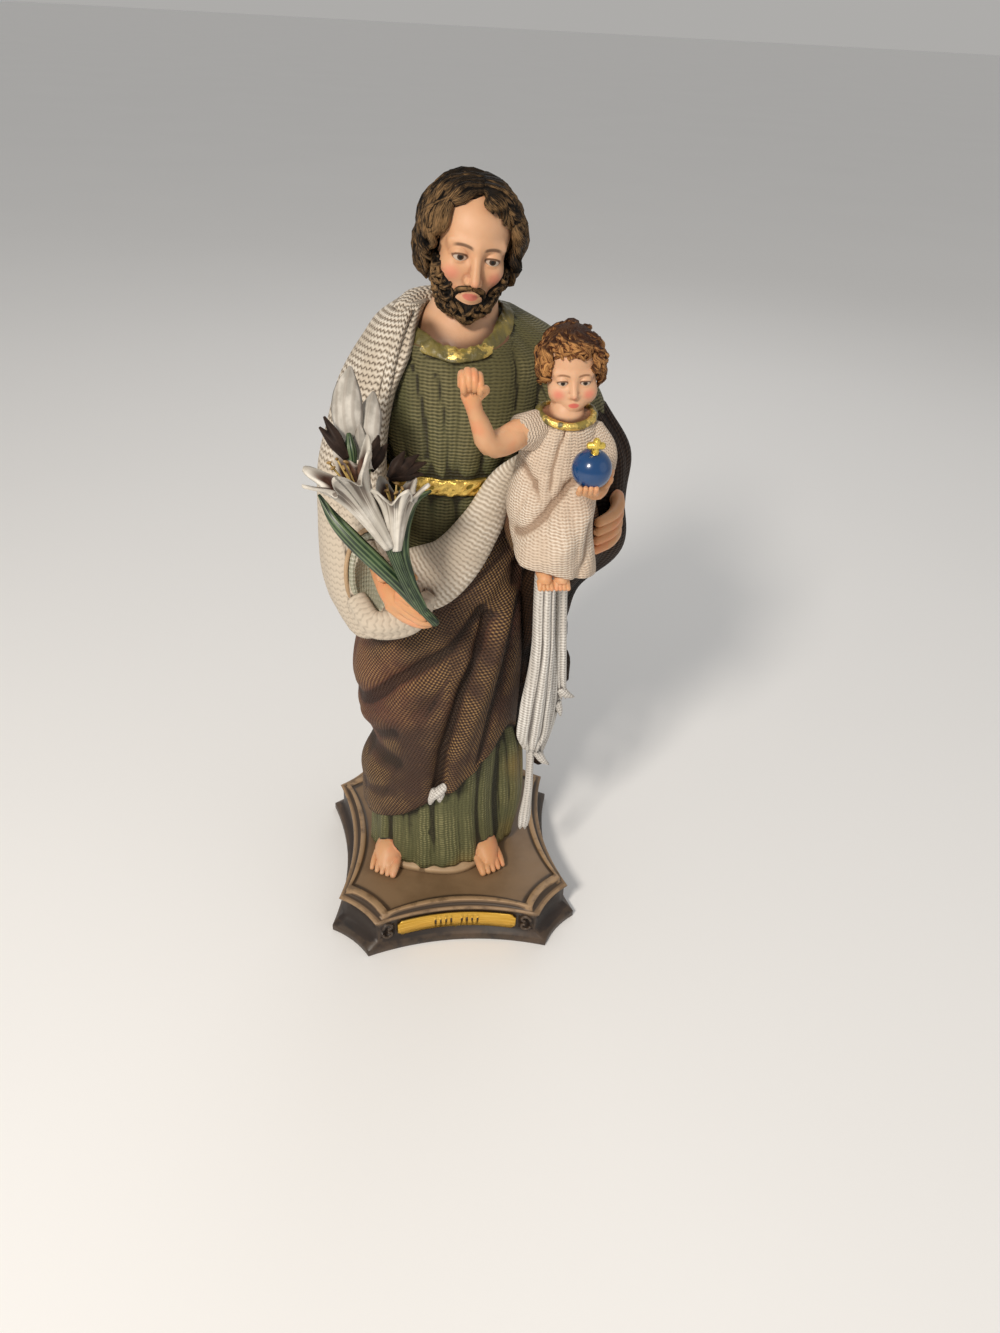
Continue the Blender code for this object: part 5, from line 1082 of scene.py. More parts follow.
def lily_parts():
    """Two open trumpets, petals and blooms behind them, stems and leaves."""
    blooms = (((-27.4, -65, 181), (-43.2, -66, 210.5), 7.6, 0.4),
              ((-25.6, -64.5, 179.6), (-25.8, -60.5, 200.5), 5.6, 1.2))
    parts = []
    for neck, mouth, flare, spin in blooms:
        parts.append(trumpet("bloom", neck, mouth, flare, spin))
        start = np.array(neck)
        end = np.array(mouth)
        axis = unit(end - start)
        for i in range(5):
            turn = i * math.pi * 0.4 + spin
            out = np.array([math.cos(turn), math.sin(turn) * 0.7, 0.3 * math.sin(turn)])
            line = [(*(start + (end - start) * 0.3), 0.4),
                    (*(start + (end - start) * 0.75 + out * 1.4), 0.32),
                    (*(end - axis * 1.6 + out * 2.6), 0.3)]
            parts.append(tube("stamen", line, "stamen_gold", 8, 12))
            tip = end - axis * 1.2 + out * 2.7
            parts.append(ellipsoid("anther", tuple(tip), (1.0, 0.5, 0.5), (0, 20, 72 * i), "anther_dark",
                                   7))
    for name, path, half_width in (
            ("upper_petal_left", [(-38.2, -52, 208), (-39.6, -50, 217), (-39.4, -46.5, 226),
                                  (-38.2, -43, 232)],
             [(0, 1.8), (0.4, 4.9), (0.75, 4.0), (1, 0.6)]),
            ("upper_petal_right", [(-33.5, -52, 206), (-33, -50, 213), (-32.3, -47, 220),
                                   (-31.2, -44, 224.5)],
             [(0, 1.6), (0.4, 3.6), (0.75, 3.2), (1, 0.5)]),
            ("middle_petal", [(-36.4, -54, 206), (-36, -52.5, 212), (-36.2, -50, 217)],
             [(0, 1.5), (0.45, 2.4), (1, 0.5)])):
        parts.append(petal(name, path, half_width, 0.35, "petal_grey"))
    parts += shaded_blooms()
    parts += tubes("calyx", [[(-38, -58, 205, 1.0), (-38.8, -56, 210.5, 1.9), (-39.2, -54.4, 214.5, 0.8)],
                             [(-34, -58, 202, 1.0), (-34, -55.5, 206.5, 1.6), (-33.7, -54, 209.5, 0.8)]],
                   "leaf_green", sides=12, count=12)
    stems = [[(-27.8, -65, 182, 1.6), (-23.5, -64, 170, 1.6), (-18.2, -61.5, 158, 1.7),
              (-12.0, -60.0, 149.5, 1.6)],
             [(-25.6, -64.5, 180, 1.5), (-22, -63.5, 168, 1.5), (-16.5, -61.5, 155, 1.5)]]
    parts += tubes("stems", stems, "leaf_green", sides=14, count=24)
    line = [(-49.5, -51, 193), (-45, -55.5, 186.5), (-39.5, -59, 181), (-32, -62, 174), (-24, -62, 165),
            (-17.5, -61.5, 156.5), (-11.6, -61, 150)]
    half_width = [(0, 0.5), (0.2, 2.6), (0.45, 3.0), (0.65, 2.6), (0.9, 1.6), (1, 0.8)]
    parts.append(petal("left_leaf", line, half_width, 0.35, "leaf_green", 1.4, 36))
    line = [(-13.5, -52, 194.5), (-18.5, -56, 193.5), (-22.4, -60, 188), (-23.6, -62.5, 179),
            (-21, -63, 168),
            (-15.6, -62, 156)]
    half_width = [(0, 0.5), (0.3, 2.4), (0.6, 2.4), (1, 0.8)]
    parts.append(petal("right_leaf", line, half_width, 0.3, "leaf_green", 1.4, 32))
    return parts


# Base and plate

def base_outline(half_width, half_depth, grow, side_steps=36, corner_steps=8):
    """The plan of the base: hollow sides between hollow cut corners."""
    x = half_width + grow
    y = half_depth + grow
    corners = [(-x + CORNER_CUT_WIDTH, -y), (x - CORNER_CUT_WIDTH, -y), (x, -y + CORNER_CUT_DEPTH),
               (x, y - CORNER_CUT_DEPTH), (x - CORNER_CUT_WIDTH, y), (-x + CORNER_CUT_WIDTH, y),
               (-x, y - CORNER_CUT_DEPTH), (-x, -y + CORNER_CUT_DEPTH)]
    points = []
    for i, start in enumerate(corners):
        end = corners[(i + 1) % 8]
        steps = side_steps if i % 2 == 0 else corner_steps
        hollow = SIDE_HOLLOW if i % 2 == 0 else CORNER_HOLLOW
        run = (end[0] - start[0], end[1] - start[1])
        length = math.hypot(*run)
        inward = (-run[1] / length, run[0] / length)
        for k in range(steps):
            share = k / steps
            dip = hollow * 4 * share * (1 - share)
            points.append((start[0] + run[0] * share + inward[0] * dip,
                           start[1] + run[1] * share + inward[1] * dip))
    return points


def base_rings():
    """Heights of the moulding with the share of the way from top to foot."""
    top = BASE_HEIGHT
    slab = top - TOP_SLAB_HEIGHT
    flange = FOOT_FLANGE_HEIGHT
    step = 0.35 * MM
    return [(0.0, 1.0, -step), (step, 1.0, 0.0), (flange - step, 1.0, 0.0), (flange, 1.0, -step),
            (flange + 1.1 * MM, 0.72, 0.0), (flange + 2.0 * MM, 0.46, 0.0),
            (flange + BAND_MARGIN, BAND_SHARE, 0.0),
            (slab - BAND_MARGIN, BAND_SHARE, 0.0), (slab - 2.2 * MM, 0.34, 0.0),
            (slab - 1.4 * MM, 0.42, 0.0),
            (slab - 0.5 * MM, 0.50, 0.0), (slab, 0.50, -step), (slab, 0.12, 0.0),
            (slab + 0.5 * MM, 0.0, 0.0),
            (top - step, 0.0, 0.0), (top - 0.1 * MM, 0.0, -0.1 * MM), (top, 0.0, -step)]


def build_plinth():
    rings = []
    for z, share, grow in base_rings():
        half_width = (TOP_WIDTH + (FOOT_WIDTH - TOP_WIDTH) * share) / 2
        half_depth = (TOP_DEPTH + (FOOT_DEPTH - TOP_DEPTH) * share) / 2
        rings.append([(x, y, z) for x, y in base_outline(half_width, half_depth, grow)])
    rim = ((0.0, -RIM_WIDTH), (0.3 * MM, -RIM_WIDTH - 0.15 * MM), (RIM_HEIGHT, -RIM_WIDTH - RIM_HEIGHT))
    for drop, grow in rim:
        outline = base_outline(TOP_WIDTH / 2, TOP_DEPTH / 2, grow)
        rings.append([(x, y, BASE_HEIGHT - drop) for x, y in outline])
    for share in (0.97, 0.94, 0.9, 0.8, 0.6, 0.4, 0.2):
        rings.append([(x * share, y * share, z) for x, y, z in rings[len(base_rings()) + 2]])
    parts = [capped("plinth", rings, "base_stain")]
    for side in (-1, 1):
        parts += scroll(side)
    return united("moulded_base", parts)


def plate_arc(along, outward):
    """A point on the hollow front of the band, at a distance along and out."""
    half_width = (TOP_WIDTH + (FOOT_WIDTH - TOP_WIDTH) * BAND_SHARE) / 2
    half_depth = (TOP_DEPTH + (FOOT_DEPTH - TOP_DEPTH) * BAND_SHARE) / 2
    half = half_width - CORNER_CUT_WIDTH
    share = 0.5 + along / (2 * half)
    dip = SIDE_HOLLOW * 4 * share * (1 - share)
    slope = SIDE_HOLLOW * 4 * (1 - 2 * share) / (2 * half)
    length = math.hypot(1.0, slope)
    return (along + slope / length * outward, -half_depth + dip - outward / length)


def plate_middle():
    return (FOOT_FLANGE_HEIGHT + BASE_HEIGHT - TOP_SLAB_HEIGHT) / 2


def scroll(side):
    """A carved spiral scroll beside the plate."""
    lines = []
    for turn_way, lift in ((1, 1.0), (-1, -1.0)):
        line = []
        for t in np.linspace(0.0, 1.0, 15):
            turn = 1.5 * math.pi * t * turn_way
            radius = 2.3 * MM * (1.0 - 0.62 * t)
            along = side * (PLATE_LENGTH / 2 + 3.9 * MM) + side * radius * math.cos(turn)
            x, y = plate_arc(along, 0.4 * MM)
            line.append((x, y, plate_middle() + lift * 1.9 * MM + radius * math.sin(turn), 0.7 * MM))
        lines.append(line)
    made = []
    for line in lines:
        scaled = [(x / MM, y / MM, z / MM, r / MM) for x, y, z, r in line]
        one = tube("scroll", scaled, "base_stain", 8, 24)
        one.data.transform(Matrix.Scale(MM, 4))
        made.append(one)
    return made


def build_plate():
    """The plate, bent to the hollow front, with rows of raised strokes."""
    rows = []
    steps = 60
    for i in range(steps + 1):
        along = PLATE_LENGTH * (i / steps - 0.5)
        end = (PLATE_LENGTH / 2 - abs(along)) / (1.6 * MM)
        half = PLATE_HEIGHT / 2 * (1.0 if end >= 1 else 0.62 + 0.38 * max(0.0, end) ** 2)
        ring = []
        for out, rise in ((PLATE_GAP, -half), (PLATE_GAP, half),
                          (PLATE_GAP + PLATE_THICKNESS - 0.1 * MM, half),
                          (PLATE_GAP + PLATE_THICKNESS, half - 0.15 * MM),
                          (PLATE_GAP + PLATE_THICKNESS, -half + 0.15 * MM),
                          (PLATE_GAP + PLATE_THICKNESS - 0.1 * MM, -half)):
            x, y = plate_arc(along, out)
            ring.append((x, y, plate_middle() + rise))
        rows.append(ring)
    parts = [capped("plate", rows, "plate_gold")]
    for i in range(9):
        if i == 4:
            continue
        along = (i - 4) * STROKE_LENGTH * 1.55
        tall = PLATE_HEIGHT * (0.22 if i % 3 else 0.30)
        x, y = plate_arc(along, PLATE_GAP + PLATE_THICKNESS - 0.05 * MM)
        ring = [(-0.5, -0.5), (0.5, -0.5), (0.5, 0.5), (-0.5, 0.5)]
        wide = STROKE_LENGTH * 0.45
        deep = 0.35 * MM
        stack = []
        for share in (-0.5, 0.5):
            stack.append([(x + a * wide, y + b * deep, plate_middle() + share * tall) for a, b in ring])
        parts.append(capped("stroke", stack, "plate_ink"))
    return united("name_plate_fine", parts)


# Paint

def link(entry, value):
    """Sets an input of a node, or joins it to the output of another."""
    if isinstance(value, Wire):
        entry.id_data.links.new(value.socket, entry)
    elif isinstance(value, tuple) and len(value) == 3 and entry.type == "RGBA":
        entry.default_value = (*value, 1.0)
    else:
        entry.default_value = value


class Wire:
    """The output of a node, which takes part in sums and products."""

    def __init__(self, socket):
        self.socket = socket

    def math(self, operation, *values):
        made = self.socket.id_data.nodes.new("ShaderNodeMath")
        made.operation = operation
        for entry, value in zip(made.inputs, (self, *values)):
            link(entry, value)
        return Wire(made.outputs[0])

    def __add__(self, other):
        return self.math("ADD", other)

    def __sub__(self, number):
        return self.math("ADD", -number)

    def __mul__(self, other):
        return self.math("MULTIPLY", other)

    def wave(self):
        """The sine, brought between 0 and 1."""
        return self.math("SINE") * 0.5 + 0.5

    def ramp(self, low, high):
        """0 below low, 1 above high, smooth between."""
        made = self.socket.id_data.nodes.new("ShaderNodeMapRange")
        made.interpolation_type = "SMOOTHSTEP"
        for key, value in (("Value", self), ("From Min", low), ("From Max", high)):
            link(made.inputs[key], value)
        return Wire(made.outputs[0])


class Paint:
    """One material, with short calls that build its nodes."""

    def __init__(self, name, roughness=0.5, metallic=0.0, gloss=0.5):
        self.material = bpy.data.materials.new(name)
        self.material.use_nodes = True
        self.tree = self.material.node_tree
        self.shader = self.tree.nodes["Principled BSDF"]
        self.set("Roughness", roughness)
        self.set("Metallic", metallic)
        self.set("Specular IOR Level", gloss)

    def set(self, key, value):
        link(self.shader.inputs[key], value)

    def node(self, kind, inputs=(), **values):
        made = self.tree.nodes.new(kind)
        for key, value in values.items():
            setattr(made, key, value)
        for key, value in dict(inputs).items():
            link(made.inputs[key], value)
        return made

    def mix(self, share, a, b):
        made = self.node("ShaderNodeMix", {"Factor": share, 6: a, 7: b}, data_type="RGBA")
        return Wire(made.outputs[2])

    def place(self):
        return Wire(self.node("ShaderNodeTexCoord").outputs["Object"])

    def noise(self, scale, detail=3.0, where=None):
        values = {"Vector": where or self.place(), "Scale": scale, "Detail": detail, "Roughness": 0.55}
        return Wire(self.node("ShaderNodeTexNoise", values).outputs[0])

    def split(self, vector):
        made = self.node("ShaderNodeSeparateXYZ", {0: vector})
        return [Wire(socket) for socket in made.outputs]

    def joined(self, x, y):
        return Wire(self.node("ShaderNodeCombineXYZ", {0: x, 1: y}).outputs[0])

    def cloth(self):
        """Places on the cloth in millimetres, across and along."""
        return self.split(Wire(self.node("ShaderNodeUVMap", uv_map="cloth").outputs[0]))[:2]

    def facing(self, key="Normal"):
        return self.split(Wire(self.node("ShaderNodeNewGeometry").outputs[key]))[2]

    def hollow(self):
        return Wire(self.node("ShaderNodeAttribute", attribute_name="hollow").outputs["Fac"])

    def bump(self, height, distance):
        made = self.node("ShaderNodeBump", {"Height": height, "Distance": distance, "Strength": 1.0})
        self.set("Normal", Wire(made.outputs[0]))


def woven(name, base, dark, light, threads, zigzag, wash, lights, depth, patch=None, stir=1.5, lean=0.0,
          fade=None, hollow_wash_and_shade=0.93, gloss=0.3):
    """Painted cloth: raised threads dry-brushed light over a dark wash, with the hollows of the folds
    darkened by the wash and by painted shade.

    threads holds the spacing of the warp and of the weft in millimetres and
    the share of the relief that the weft has; fade holds the heights in
    metres between which the threads grow from faint to full.
    """
    warp_gap, weft_gap, weft_share = threads
    paint = Paint(name, gloss=gloss)
    u, v = paint.cloth()
    u, v = (u * math.cos(lean) + v * math.sin(lean), v * math.cos(lean) + u * -math.sin(lean))
    sway = (paint.noise(260.0, 2.0) - 0.5) * stir
    turn = v * (2 * math.pi / weft_gap) + (u * (math.pi / warp_gap)).math("SINE") * zigzag
    weft = (turn + sway).wave()
    warp = (u * (2 * math.pi / warp_gap) + sway * 1.3).wave()
    height = weft * weft_share + warp * (1.0 - weft_share)
    fibre = paint.noise(1100.0, 3.0)
    hollow = paint.hollow()
    patchy = paint.noise(45.0, 4.0)
    colour = base
    if patch is not None:
        colour = paint.mix(paint.noise(17.0, 2.0).ramp(0.48, 0.64) * 0.75, base, patch)
    # Hollows of the folds darkened: dark wash together with painted shade in the creases.
    low = (hollow + (patchy - 0.5) * 0.7).ramp(0.02, 0.70)
    groove = (height + (fibre - 0.5) * 0.35).ramp(0.42, 0.06) * wash
    if fade is not None:
        full = paint.split(paint.place())[2].ramp(*fade) * 0.7 + 0.3
        groove = groove * full
        height = height * full
    colour = paint.mix(groove.math("MAXIMUM", low * hollow_wash_and_shade), colour, dark)
    raised = (height + (fibre - 0.5) * 0.5).ramp(0.45, 0.92)
    edge = hollow.ramp(0.02, -0.45) * 0.85 + 0.15
    colour = paint.mix(raised * edge * patchy.ramp(0.36, 0.60) * lights, colour, light)
    paint.set("Base Color", colour)
    paint.set("Roughness", height * -0.12 + 0.68)
    paint.bump(height + fibre * 0.25, depth)


def face_masks(paint, place, drop):
    """Brow, eye, lip and cheek masks in the head's own coordinates."""
    back = Matrix(np.linalg.inv(place).tolist())
    lift = Matrix.Translation((0, 0, -FIGURE_LOW / UNIT)) @ Matrix.Scale(1 / UNIT, 4)
    place_at, turn, size = (back @ lift).decompose()
    values = {"Vector": paint.place(), "Location": tuple(place_at), "Rotation": tuple(turn.to_euler()),
              "Scale": tuple(size)}
    x, y, z = paint.split(Wire(paint.node("ShaderNodeMapping", values).outputs[0]))
    x = x.math("ABSOLUTE")
    z = z + drop
    front = y.ramp(-0.14, -0.2)

    def spot(at_x, at_z, wide, tall, inner, outer):
        dx = (x - at_x) * (1 / wide)
        dz = (z - at_z) * (1 / tall)
        return (dx * dx + dz * dz).math("SQRT").ramp(outer, inner) * front

    curve = (x - 0.125).math("POWER", 2.0) * 2.6
    off_brow = (z - 0.088 + curve).math("ABSOLUTE")
    ends = x.ramp(0.035, 0.07) * x.ramp(0.225, 0.17)
    lip_height = -0.303 + 0.03 * (drop > 0)
    return {"brow": off_brow.ramp(0.020, 0.006) * ends * front,
            "white": spot(0.140, -0.014, 0.060, 0.025, 0.86, 1.0),
            "line": spot(0.140, -0.005, 0.071, 0.033, 0.90, 1.10),
            "iris": spot(0.138, -0.008, 0.031, 0.028, 0.85, 1.0),
            "pupil": spot(0.138, -0.008, 0.015, 0.015, 0.8, 1.1),
            "lips": spot(0.0, lip_height, 0.078, 0.036, 0.70, 1.0),
            "cheek": spot(0.19, -0.15, 0.11, 0.10, 0.1, 1.0),
            "nose": spot(0.0, -0.17, 0.06, 0.06, 0.1, 1.0)}


def neckline_shadow_mask(paint, line, width):
    """Skin just inside a neckline, where a brown painted shadow of the collar falls."""
    middle_x, middle_y, reach, height, drop, power = line
    x, y, z = paint.split(paint.place())
    across = (x - middle_x * UNIT) * (1 / (reach * UNIT))
    along = (y - middle_y * UNIT) * (1 / (reach * UNIT))
    far = (across * across + along * along).math("SQRT")
    front = (along * -1.0).math("MAXIMUM", 0.0).math("POWER", power)
    above = z * (1 / UNIT) - (FIGURE_LOW / UNIT + height) + front * drop
    return far.ramp(0.58, 0.74) * above.ramp(width, 0.2 * width)


def skin_paint(name, place=None, drop=0.0, brows=(0.06, 0.03, 0.015), lips=(0.55, 0.14, 0.11),
               blush=0.55, neckline=None, base=(0.61, 0.335, 0.185)):
    paint = Paint(name, 0.48, gloss=0.35)
    paint.set("Subsurface Weight", 0.12)
    paint.set("Subsurface Radius", (0.6, 0.25, 0.12))
    paint.set("Subsurface Scale", 0.002)
    pale = tuple(0.3 * a + 0.7 * b for a, b in zip((0.78, 0.52, 0.36), base))
    colour = paint.mix(paint.noise(60.0, 3.0).ramp(0.35, 0.7), base, pale)
    # Darker in the creases of the skin: painted shade.
    low = paint.hollow().ramp(0.12, 0.85)
    colour = paint.mix(low * (0.75 if place is None else 0.5), colour, (0.33, 0.12, 0.06))
    if neckline is not None:
        # Painted shadow of the collar: dark brown on the skin just inside the neckline.
        colour = paint.mix(neckline_shadow_mask(paint, *neckline) * 0.88, colour, (0.075, 0.030, 0.012))
    if place is None:
        rosy = paint.noise(110.0, 2.0).ramp(0.45, 0.7)
        colour = paint.mix(rosy * 0.5, colour, (0.72, 0.25, 0.12))
    else:
        mask = face_masks(paint, place, drop)
        for share, tint in ((mask["cheek"] * blush, (0.72, 0.20, 0.14)),
                            (mask["nose"] * (blush * 0.5), (0.70, 0.24, 0.16)),
                            (mask["lips"] * 0.85, lips), (mask["brow"] * 0.8, brows),
                            (mask["line"] * 0.85, (0.10, 0.045, 0.025)),
                            (mask["white"], (0.50, 0.41, 0.33)),
                            (mask["iris"] * mask["white"], (0.045, 0.022, 0.010)),
                            (mask["pupil"], (0.008, 0.006, 0.005))):
            colour = paint.mix(share, colour, tint)
    paint.set("Base Color", colour)
    paint.bump(paint.noise(900.0, 2.0), 0.00005)


def hair_paint(name, dark, base, light, lights):
    """Painted shade on the upward-facing crown and in the hollows, brushed light on the locks."""
    paint = Paint(name, 0.58, gloss=0.15)
    u, v = paint.cloth()
    fine = paint.noise(2.2, 3.0, paint.joined(u * 1.9, v * 0.22))
    broad = paint.noise(95.0, 2.0)
    hollow = paint.hollow()
    colour = paint.mix((fine + broad * 0.5).ramp(0.55, 0.95), dark, base)
    edge = hollow.ramp(-0.12, -0.62) * (fine + broad * 0.6).ramp(0.70, 0.95)
    # Upward-facing hair darkened and given fewer brushed lights: painted shade on the crown.
    up = paint.facing()
    colour = paint.mix((up + broad * 0.4).ramp(0.62, 0.98) * 0.85, colour, dark)
    edge = edge * (up.ramp(0.85, 0.45) * 0.90 + 0.10)
    colour = paint.mix(edge * lights, colour, light)
    # Darker in the hollows between the locks: painted shade.
    colour = paint.mix(hollow.ramp(0.1, 0.6) * 0.85, colour, tuple(0.3 * c for c in dark))
    paint.set("Base Color", colour)
    paint.bump(fine, 0.0003)


def gold_paint(name, base=(0.88, 0.61, 0.16), under=(0.24, 0.17, 0.03)):
    paint = Paint(name, 0.3, 0.9)
    crumple = paint.noise(420.0, 5.0)
    worn = (paint.noise(240.0, 3.0) + paint.hollow() * 0.3).ramp(0.50, 0.66)
    paint.set("Base Color", paint.mix(worn, base, under))
    paint.set("Roughness", crumple * 0.35 + 0.16)
    paint.bump(crumple, 0.0006)


def collar_paint():
    """Olive cloth like the tunic's, with gold leaf in flakes on the front."""
    paint = Paint("collar_gold", 0.4)
    front = paint.split(paint.place())[1].ramp(-0.010, -0.0235)
    crumple = paint.noise(420.0, 5.0)
    flakes = paint.noise(190.0, 5.0) + front * 0.15
    gilt = flakes.ramp(0.665, 0.735) * paint.hollow().ramp(0.5, 0.1)
    cloth = paint.mix(paint.noise(90.0, 3.0).ramp(0.4, 0.65), (0.120, 0.100, 0.032), (0.27, 0.205, 0.045))
    paint.set("Base Color", paint.mix(gilt, cloth, (0.88, 0.64, 0.19)))
    paint.set("Metallic", gilt * 0.9)
    paint.set("Roughness", crumple * 0.35 + 0.18)
    paint.bump(crumple, 0.0007)


def plain_paint(name, base, dark, light, roughness, grain=140.0, coat=0.0, gloss=0.5):
    paint = Paint(name, roughness, gloss=gloss)
    paint.set("Coat Weight", coat)
    paint.set("Coat Roughness", 0.12)
    tone = paint.noise(grain, 4.0)
    hollow = paint.hollow()
    colour = paint.mix(tone.ramp(0.4, 0.72), base, light)
    # Darker in the hollows: painted shade.
    colour = paint.mix(hollow.ramp(0.05, 0.7) * 0.85, colour, dark)
    colour = paint.mix(hollow.ramp(-0.1, -0.6) * 0.4, colour, light)
    paint.set("Base Color", colour)
    paint.set("Roughness", tone * 0.12 + (roughness - 0.06))
    paint.bump(tone, 0.00008)


def petal_paint(name, low, high, veins, throat=False):
    """Petals with a grey wash and painted shade in their hollows; a throat darkens inwards, its brown
    wash deepening into painted shade.
    """
    paint = Paint(name, 0.5, gloss=0.35)
    u, v = paint.cloth()
    broad = paint.noise(150.0, 3.0)
    colour = paint.mix(broad.ramp(0.4, 0.7), low, high)
    # Grey-brown in the hollows: grey wash together with painted shade.
    colour = paint.mix(paint.hollow().ramp(-0.05, 0.55) * 0.85, colour, (0.11, 0.08, 0.06))
    vein = (u * 2.3 + broad * 4.0).wave()
    colour = paint.mix(vein.ramp(0.45, 1.0) * veins, colour, (0.24, 0.20, 0.165))
    # Darker towards the throat: brown wash deepening into painted shade.
    if throat:
        inner = paint.mix(broad.ramp(0.45, 0.75), (0.050, 0.020, 0.012), (0.17, 0.085, 0.05))
        colour = paint.mix((v + broad * 3.0).ramp(22.6, 25.6), colour, inner)
    paint.set("Base Color", colour)
    paint.bump(vein + paint.noise(700.0, 3.0) * 0.6, 0.00016)


def leaf_paint():
    paint = Paint("leaf_green", 0.36)
    vein = (paint.cloth()[0] * 4.6).wave()
    tone = paint.noise(120.0, 3.0)
    colour = paint.mix(tone.ramp(0.35, 0.7), (0.008, 0.022, 0.009), (0.022, 0.055, 0.019))
    edge = paint.hollow().ramp(0.1, -0.5) * (vein + tone).ramp(0.9, 1.4)
    paint.set("Base Color", paint.mix(edge * 0.5, colour, (0.20, 0.27, 0.13)))
    paint.bump(vein, 0.00012)


def base_paint():
    """Tan-brown top, pale worn edges, near-black sides and painted shade in the hollows."""
    paint = Paint("base_stain", 0.45)
    paint.set("Coat Weight", 0.08)
    paint.set("Coat Roughness", 0.35)
    z = paint.split(paint.place())[2]
    broad = paint.noise(38.0, 4.0)
    fine = paint.noise(210.0, 4.0)
    hollow = paint.hollow()
    top = paint.facing("True Normal").ramp(0.5, 0.9) * z.ramp(0.0165, 0.018)
    side = paint.mix(broad.ramp(0.35, 0.68), (0.014, 0.009, 0.007), (0.050, 0.029, 0.018))
    upper = paint.mix(broad.ramp(0.38, 0.66), (0.165, 0.100, 0.050), (0.225, 0.142, 0.075))
    colour = paint.mix(z.ramp(0.0146, 0.0174) * 0.75, side, (0.22, 0.135, 0.07))
    colour = paint.mix(top, colour, upper)
    worn = hollow.ramp(-0.08, -0.5) * fine.ramp(0.30, 0.55)
    colour = paint.mix(worn * (z.ramp(0.014, 0.019) * 0.70 + 0.08), colour, (0.42, 0.27, 0.145))
    # Darker in the hollows of the moulding: painted shade.
    colour = paint.mix(hollow.ramp(0.1, 0.6) * 0.8, colour, (0.02, 0.012, 0.008))
    paint.set("Base Color", colour)
    paint.set("Roughness", fine * 0.2 + 0.36)
    paint.bump(fine, 0.0001)


def plate_paints():
    """Brushed gilt metal, and the dark stain on the strokes."""
    paint = Paint("plate_gold", 0.28, 0.85)
    x, _, z = paint.split(paint.place())
    grain = paint.noise(1.0, 3.0, paint.joined(x * 60.0, z * 2600.0))
    paint.set("Base Color", paint.mix(grain.ramp(0.35, 0.65), (0.66, 0.36, 0.045), (0.86, 0.54, 0.11)))
    paint.set("Roughness", grain * 0.25 + 0.2)
    paint.bump(grain, 0.00004)
    plain_paint("plate_ink", (0.03, 0.018, 0.01), (0.01, 0.006, 0.004), (0.06, 0.035, 0.02), 0.5)


